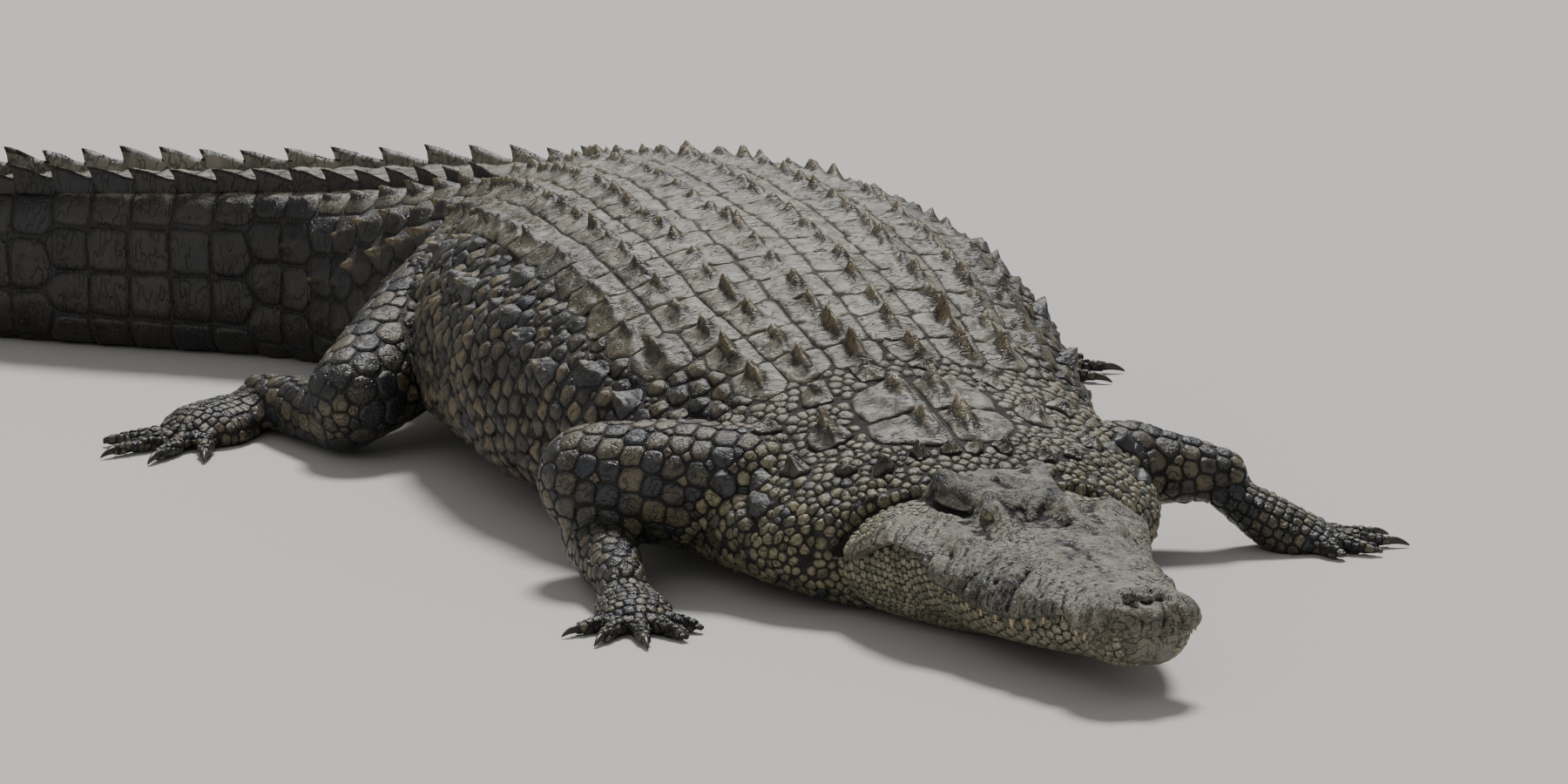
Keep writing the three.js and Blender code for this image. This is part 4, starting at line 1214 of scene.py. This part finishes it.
# ---- Scales of the flanks ----
# Ovals of bare, dark and ochre horn in slanting rows, some with a keel, in a bed of granules,
# with odd large scutes of darker horn scattered among them.
flank_horn = hide_finish("flank_scale", (0.036, 0.035, 0.031), (0.195, 0.152, 0.080), SLATE,
                         odd_from=0.95, drawn=(0.5, 1, 0.4), bump=1.3)
flank_bed = hide_finish("flank_granule", (0.022, 0.021, 0.018), (0.085, 0.07, 0.042), SLATE,
                        odd_from=0.9)
scute_horn = hide_finish("flank_scute", (0.024, 0.027, 0.032), (0.085, 0.085, 0.08), SLATE,
                         odd_from=1.3, mud_share=0.6, drawn=CROSSWISE)
flank_shape = keeled(0.0009, 0.0034, 1.0, 0.008, peak=0.3, lean=0.5, tent=0.5, rim=0.08,
                     seam=0.010)
scute_shape = keeled(0.0014, 0.0034, 0.9, 0.015, peak=0.55, lean=0.9, tent=0.6, seam=0.005)
grow("flank_scales", "flank", 18, (0, 0.2, 0.45, 0.7, 0.92), 0.0003, flank_shape, flank_horn,
     "trunk_skin", rugged=0.0006)
grow("flank_scutes", "scute", 28, BIG_RINGS, 0.0004, scute_shape, scute_horn, "trunk_skin",
     rugged=0.0005)
grow("flank_granules", "granule", 7, (0, 0.7), 0.0003, keeled(0.0009, 0.0010), flank_bed,
     "trunk_skin")


# ---- Scales of the neck ----
# Pebbles of olive and ochre horn from the collar fold to the shoulders, close-set, each one
# domed, with no bone under them.
SMALL_RINGS = (0, 0.55, 0.9)
neck_horn = hide_finish("neck_scale", (0.11, 0.10, 0.062), (0.31, 0.27, 0.16), SLATE,
                        odd_from=0.92, gloss=0.42)
neck_shape = keeled(0.0011, 0.0017, 1.0, 0.004, seam=0.0016)
grow("neck_scales", "neck", 10, SMALL_RINGS, 0.0004, neck_shape, neck_horn, "trunk_skin",
     rugged=0.0005)


# ---- Scales of belly, jaw and cheek ----
# Smooth flat tiles of pale horn in cross rows below, and small many-sided ones over the jaw's
# muscle and the lower jaw.
jaw_horn = hide_finish("jaw_scale", (0.20, 0.188, 0.122), (0.42, 0.39, 0.26), (0.14, 0.13, 0.085),
                       odd_from=0.95)
grow("belly_scales", "belly", 8, (0, 0.88), 0.0005, keeled(0.0016, 0.0004), jaw_horn,
     "trunk_skin", square=True)
grow("jaw_scales", "jaw", 9, SMALL_RINGS, 0.0004, keeled(0.001, 0.0012, seam=0.0013), jaw_horn,
     "head_skin", square=True)


# ---- Plates of the tail ----
# Ring after ring of tall four-sided plates of near-black horn, partly their own dark colour and
# partly painted shade, smooth towards the tip and hooked near the hips, each a little raised at
# its tailward edge.
tail_horn_and_shade = hide_finish("tail_plate", (0.010, 0.009, 0.008), (0.034, 0.029, 0.022),
                        (0.016, 0.017, 0.018), odd_from=0.9, drawn=(1, 1, 0.35))
tail_shape = keeled(0.0026, 0.0006, 1.1, 0.010, tilt=0.0018, lean=0.6, tent=0.55)
grow("tail_plates", "tail", 20, (0, 0.25, 0.5, 0.74, 0.955), 0.0005, tail_shape, tail_horn_and_shade,
     "tail_scutes", square=True, rugged=0.0009)


# ---- Plates of the legs ----
# Rounded four-sided cobbles of horn, dark and wet, smaller to the feet, where they lie across the
# fingers and toes.
leg_horn = hide_finish("leg_plate", (0.022, 0.023, 0.025), (0.17, 0.135, 0.078), SLATE, odd_from=0.8,
                       gloss=0.36, mud_share=0.75)
for name in LEGS:
    grow(name + "_scales", name, 14, (0, 0.34, 0.68, 0.94), 0.0004, keeled(0.0017, 0.0010),
         leg_horn, "leg_scales", square=True, rugged=0.0007)


# ---- Tail crest ----
# Upright leathery flaps of horn, two rows that close to one towards the tip. Each is sunk in its
# ring of plates, is joined low down to the next, and ends tailward in a hooked point.
ALONG, OVER = 12, 10
SINK = 10
bm = bmesh.new()
bmesh.ops.create_grid(bm, x_segments=ALONG, y_segments=OVER, size=1.0)
bmesh.ops.triangulate(bm, faces=bm.faces)
flap_faces = np.array([[v.index for v in f.verts] for f in bm.faces])
flap = read(made("flap", bm))
along, over = flap[:, 0], flap[:, 1]
# Across the grid is round the flap: bottom middle, up one side, over the edge, and down the other.
climb = 1 - np.abs(over)
level = np.clip((climb - 0.2) / 0.8, 0, 1)
side = np.where(climb < 0.01, 0, np.sign(over))
rise = 0.58 + 0.42 * ease(-1.0, 0.9, along) ** 1.4
blade = ((1 - level) ** 0.8 * 0.92 + 0.08) * np.minimum(1, (1 - np.abs(along)) * 4 + 0.1)
crest_co, crest_faces, crest_map = [], [], []
crest_values = {word: [] for word in ("relief", "tint", "mud", "wet")}
for i, (s, length, double) in enumerate(whorls):
    for way in ((-1, 1) if double else (0,)):
        tall = float(crest_tall(s)) * random.uniform(0.88, 1.1)
        out = way * float(crest_out(s))
        thick = np.interp(s, [2200, 2700, 4300], [9, 7, 3.5])
        lean_out = random.uniform(-1.5, 1.5) + way * 5
        foot = float(skin_at(s, q_at(s, out) if way else 0.0)[0, 2]) / MM - float(coat_depth(s))
        high = foot - SINK + (SINK + tall * rise) * level
        x = out + side * thick * blade + lean_out * level ** 2 * rise
        hook = (level * rise) ** 3 * ease(-0.2, 1.0, along) * length * 0.16
        points = place(s + along * length * 0.54 + hook, x, high)
        points += np.stack([rough(points, 0.016, k + i) for k in (1, 2, 3)], 1) * 0.0013
        crest_faces.append(flap_faces + len(crest_co) * len(along))
        crest_co.append(points)
        inner = -side * way
        mud = 0.55 + 0.6 * inner if way else 0.25 + 0 * inner
        crest_values["relief"].append(np.clip(0.30 + 0.35 * level * rise + 0.30 * (climb > 0.9), 0, 1))
        crest_values["tint"].append(np.full(len(along), random.uniform(0, 1)))
        crest_values["mud"].append(mud * (level > 0))
        crest_values["wet"].append(np.zeros(len(along)))
        crest_map.append(np.array(unwrapped(s, out)) + flap[:, :2] * PATCH / 2)
crest_values = {word: np.concatenate(value) for word, value in crest_values.items()}
crest = joined("tail_crest", np.concatenate(crest_co), np.concatenate(crest_faces), crest_values,
               np.concatenate(crest_map))


def closed(mesh):
    """Joins doubled points and turns every face outward."""
    bm = bmesh.new()
    bm.from_mesh(mesh)
    bmesh.ops.remove_doubles(bm, verts=bm.verts, dist=2e-5)
    bmesh.ops.recalc_face_normals(bm, faces=bm.faces)
    bm.to_mesh(mesh)
    bm.free()


closed(crest.data)
# The crest takes the tail plates' near-black finish, which is partly painted shade.
crest.data.materials.append(tail_horn_and_shade)
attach(crest, "root")


# ---- Eyes ----
# Glassy balls under half-closed lids, gold-green with a dark upright slit. Each sits in its own
# hollow of the skin.
eye_glass, tree, shader = new_finish("eye_glass")
streak = noise_at(tree, join(tree, "ShaderNodeTexCoord", 3), 900.0, 3.0)
iris = blend(tree, streak, (0.20, 0.155, 0.04), (0.07, 0.07, 0.024))
iris = blend(tree, step_up(tree, kept(tree, "ring"), 0.72, 0.92), iris, (0.02, 0.016, 0.012))
iris = blend(tree, step_up(tree, kept(tree, "slit"), 0.06, 0.14), (0.002, 0.002, 0.002), iris)
tree.links.new(iris, shader.inputs["Base Color"])
shader.inputs["Roughness"].default_value = 0.06
shader.inputs["Coat Weight"].default_value = 1.0
shader.inputs["Coat Roughness"].default_value = 0.02
for word, centre in eyes.items():
    bm = bmesh.new()
    bmesh.ops.create_uvsphere(bm, u_segments=36, v_segments=24, radius=EYE_RADIUS * MM)
    mesh = made("eye_ball_" + word, bm)
    ball = read(mesh) / (EYE_RADIUS * MM)
    look, long_way, over_way = gaze[word]
    forward = ball @ look
    slit = np.abs(ball @ long_way) * (1 + 3.6 * (ball @ over_way) ** 2)
    keep(mesh, slit=np.where(forward > 0, slit, 1),
         ring=np.sqrt(np.clip(1 - forward ** 2, 0, 1)) + (forward < 0))
    mesh.vertices.foreach_set("co", (ball * EYE_RADIUS * MM + centre).ravel())
    smooth(mesh)
    mesh.materials.append(eye_glass)
    eye = show("eye_ball_" + word, mesh)
    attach(eye, "root")
    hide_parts("eye_" + word)


# ---- Ear flaps ----
# A long lid of soft skin closes each ear. It lies in the groove below the edge of the skull
# table and is fixed along its upper edge.
EAR_FROM, EAR_TO, EAR_HALF = 472, 578, 6.0
ear_skin = hide_finish("ear_skin", (0.04, 0.036, 0.026), (0.13, 0.11, 0.07), (0.1, 0.09, 0.06),
                       odd_from=0.95)
for word, way in SIDES:
    bm = bmesh.new()
    bmesh.ops.create_uvsphere(bm, u_segments=20, v_segments=24, radius=1.0)
    mesh = made("ear_lid_" + word, bm)
    ball = read(mesh)
    t = (ball[:, 2] + 1) / 2
    down = ball[:, 1]
    lid = skin_at(EAR_FROM + (EAR_TO - EAR_FROM) * t, way * (82 + 17 * t + EAR_HALF * down),
                  -1.4 + 1.2 * ball[:, 0] + 2.4 * ease(-0.2, 1, down))
    mesh.vertices.foreach_set("co", lid.ravel())
    keep(mesh, relief=0.34 + 0.12 * down, mud=0.35 - 0.2 * down, tint=0.4 + 0.4 * down, wet=0.0)
    smooth(mesh)
    mesh.materials.append(ear_skin)
    closed(mesh)
    ear = show("ear_lid_" + word, mesh)
    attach(ear, "root")
    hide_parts("ear_flap_" + word)


# ---- Teeth ----
# Blunt cones of worn ivory set in the edge of the upper jaw, largest where the jaw swells. They
# lie over the lower jaw's edge.
TOOTH_PITCH_AHEAD, TOOTH_PITCH_BEHIND = 24, 32
tooth_size = curve([(20, 5), (60, 8), (115, 4), (170, 8), (195, 11), (260, 7), (330, 8), (430, 6)])
bm = bmesh.new()
s = 24.0
while s < 440:
    for way in (-1, 1):
        size = float(tooth_size(s)) * random.uniform(1.0, 1.3)
        x = way * (float(half_width(s)) - 5 - size * 0.4)
        z = float(mid_height(s))
        top, tip = Vector(place(s, x, z + 6)), Vector(place(s + 1, x + way, z - size * 1.35))
        turn_up = (top - tip).to_track_quat("Z", "Y").to_matrix().to_4x4()
        cone = bmesh.ops.create_cone(bm, cap_ends=True, segments=12, radius1=size * 0.16 * MM,
                                     radius2=size * 0.6 * MM, depth=(top - tip).length,
                                     matrix=Matrix.Translation((top + tip) / 2) @ turn_up)["verts"]
        blunt = {e for v in cone for e in v.link_edges
                 if all((w.co - tip).length < size * 0.3 * MM for w in e.verts)}
        bmesh.ops.bevel(bm, geom=list(blunt), offset=size * 0.1 * MM, segments=2, profile=0.5,
                        affect="EDGES", material=-1)
    s += TOOTH_PITCH_AHEAD if s < 120 else TOOTH_PITCH_BEHIND
mesh = made("teeth", bm)
smooth(mesh)
ivory, tree, shader = new_finish("ivory")
stain = noise_at(tree, join(tree, "ShaderNodeTexCoord", 3), 120.0)
stain = blend(tree, step_up(tree, stain, 0.35, 0.7), (0.50, 0.42, 0.26), (0.20, 0.14, 0.07))
tree.links.new(stain, shader.inputs["Base Color"])
shader.inputs["Roughness"].default_value = 0.3
mesh.materials.append(ivory)
teeth = show("teeth", mesh)
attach(teeth, "root")


# ---- Claws ----
# Dark curved horn on the three inner fingers and toes of each foot, blunt from walking. Each
# sheath is sunk in the end of its digit.
claw_horn, tree, shader = new_finish("claw_horn_dark")
grain = noise_at(tree, join(tree, "ShaderNodeTexCoord", 3), 150.0, 5.0)
grained = blend(tree, grain, (0.014, 0.012, 0.01), (0.075, 0.06, 0.042))
tree.links.new(grained, shader.inputs["Base Color"])
shader.inputs["Roughness"].default_value = 0.33
worn = join(tree, "ShaderNodeBump", 0, Strength=0.3, Distance=0.001, Height=grain)
tree.links.new(worn, shader.inputs["Normal"])
# How far ahead of the finger's tip each ring of a claw lies, how high, and its radius.
CLAW_RINGS = [(-8, 10.5, 6.4), (3, 10.8, 6.0), (11, 9.8, 5.0), (18, 7.8, 3.7), (24, 5.2, 2.3),
              (27, 3.4, 1.0)]
for name, (joints, radii, sole, digits) in LEGS.items():
    bm = bmesh.new()
    for _, tip, pointing in digit_lines(joints, sole, digits)[:3]:
        way = Vector((math.cos(pointing), math.sin(pointing), 0))
        across = Vector((-way.y, way.x, 0))
        ring = bmesh.ops.create_circle(bm, cap_ends=True, segments=12, radius=1.0)["verts"]
        face = ring[0].link_faces[0]
        for k, (ahead, z, r) in enumerate(CLAW_RINGS):
            if k:
                face = bmesh.ops.extrude_discrete_faces(bm, faces=[face])["faces"][0]
            for m, v in enumerate(face.verts):
                phi = 2 * math.pi * m / len(face.verts)
                v.co = (Vector(tip) + way * ahead + across * math.cos(phi) * r * 0.8) * MM
                v.co.z = max(0.0006, (z + math.sin(phi) * r) * MM)
    bmesh.ops.holes_fill(bm, edges=bm.edges)
    bmesh.ops.recalc_face_normals(bm, faces=bm.faces)
    mesh = made("claws_" + name, bm)
    smooth(mesh)
    mesh.materials.append(claw_horn)
    claws = show("claws_" + name, mesh)
    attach(claws, "root")
    foot = ("claw_hand_" if name.startswith("arm") else "claw_foot_") + name.split("_")[1]
    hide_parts(*[f"{foot}_{k}" for k in (1, 2, 3)])


# ---- Floor, light and camera ----
# A plain pale studio floor, soft light from high behind the animal and a weaker one in front.
FLOOR_SIZE = 150
bm = bmesh.new()
bmesh.ops.create_grid(bm, x_segments=1, y_segments=1, size=FLOOR_SIZE)
floor = show("floor", made("floor", bm))
floor_paint, tree, shader = new_finish("floor_paint")
shader.inputs["Base Color"].default_value = (0.55, 0.53, 0.50, 1)
shader.inputs["Roughness"].default_value = 0.85
floor.data.materials.append(floor_paint)

world = bpy.data.worlds.new("studio")
world.use_nodes = True
sky = world.node_tree.nodes["Background"]
sky.inputs["Color"].default_value = (0.88, 0.9, 0.92, 1)
sky.inputs["Strength"].default_value = 0.32
bpy.context.scene.world = world
# Each lamp: where it shines from, how wide it looks in degrees, and its power.
LAMPS = {"key": ((1.5, 2.9, 4.6), 14, 3.6), "fill": ((-3.5, -4.0, 2.6), 60, 0.5)}
for name, (at, wide, power) in LAMPS.items():
    lamp = bpy.data.lights.new(name, "SUN")
    lamp.angle = math.radians(wide)
    lamp.energy = power
    holder = show(name, lamp)
    holder.location = at
    holder.rotation_euler = (-Vector(at)).to_track_quat("-Z", "Y").to_euler()

TARGET = Vector((0.117, 0.193, 0.095))
AZIMUTH, ELEVATION, DISTANCE, FOCAL_LENGTH = math.radians(-22), math.radians(12), 22.68, 365.4
back = Vector((math.sin(AZIMUTH) * math.cos(ELEVATION), -math.cos(AZIMUTH) * math.cos(ELEVATION),
               math.sin(ELEVATION)))
lens = bpy.data.cameras.new("camera")
lens.lens, lens.sensor_width = FOCAL_LENGTH, 36
lens.clip_end = 100
camera = show("camera", lens)
camera.location = TARGET + back * DISTANCE
camera.rotation_euler = (-back).to_track_quat("-Z", "Y").to_euler()
bpy.context.scene.camera = camera
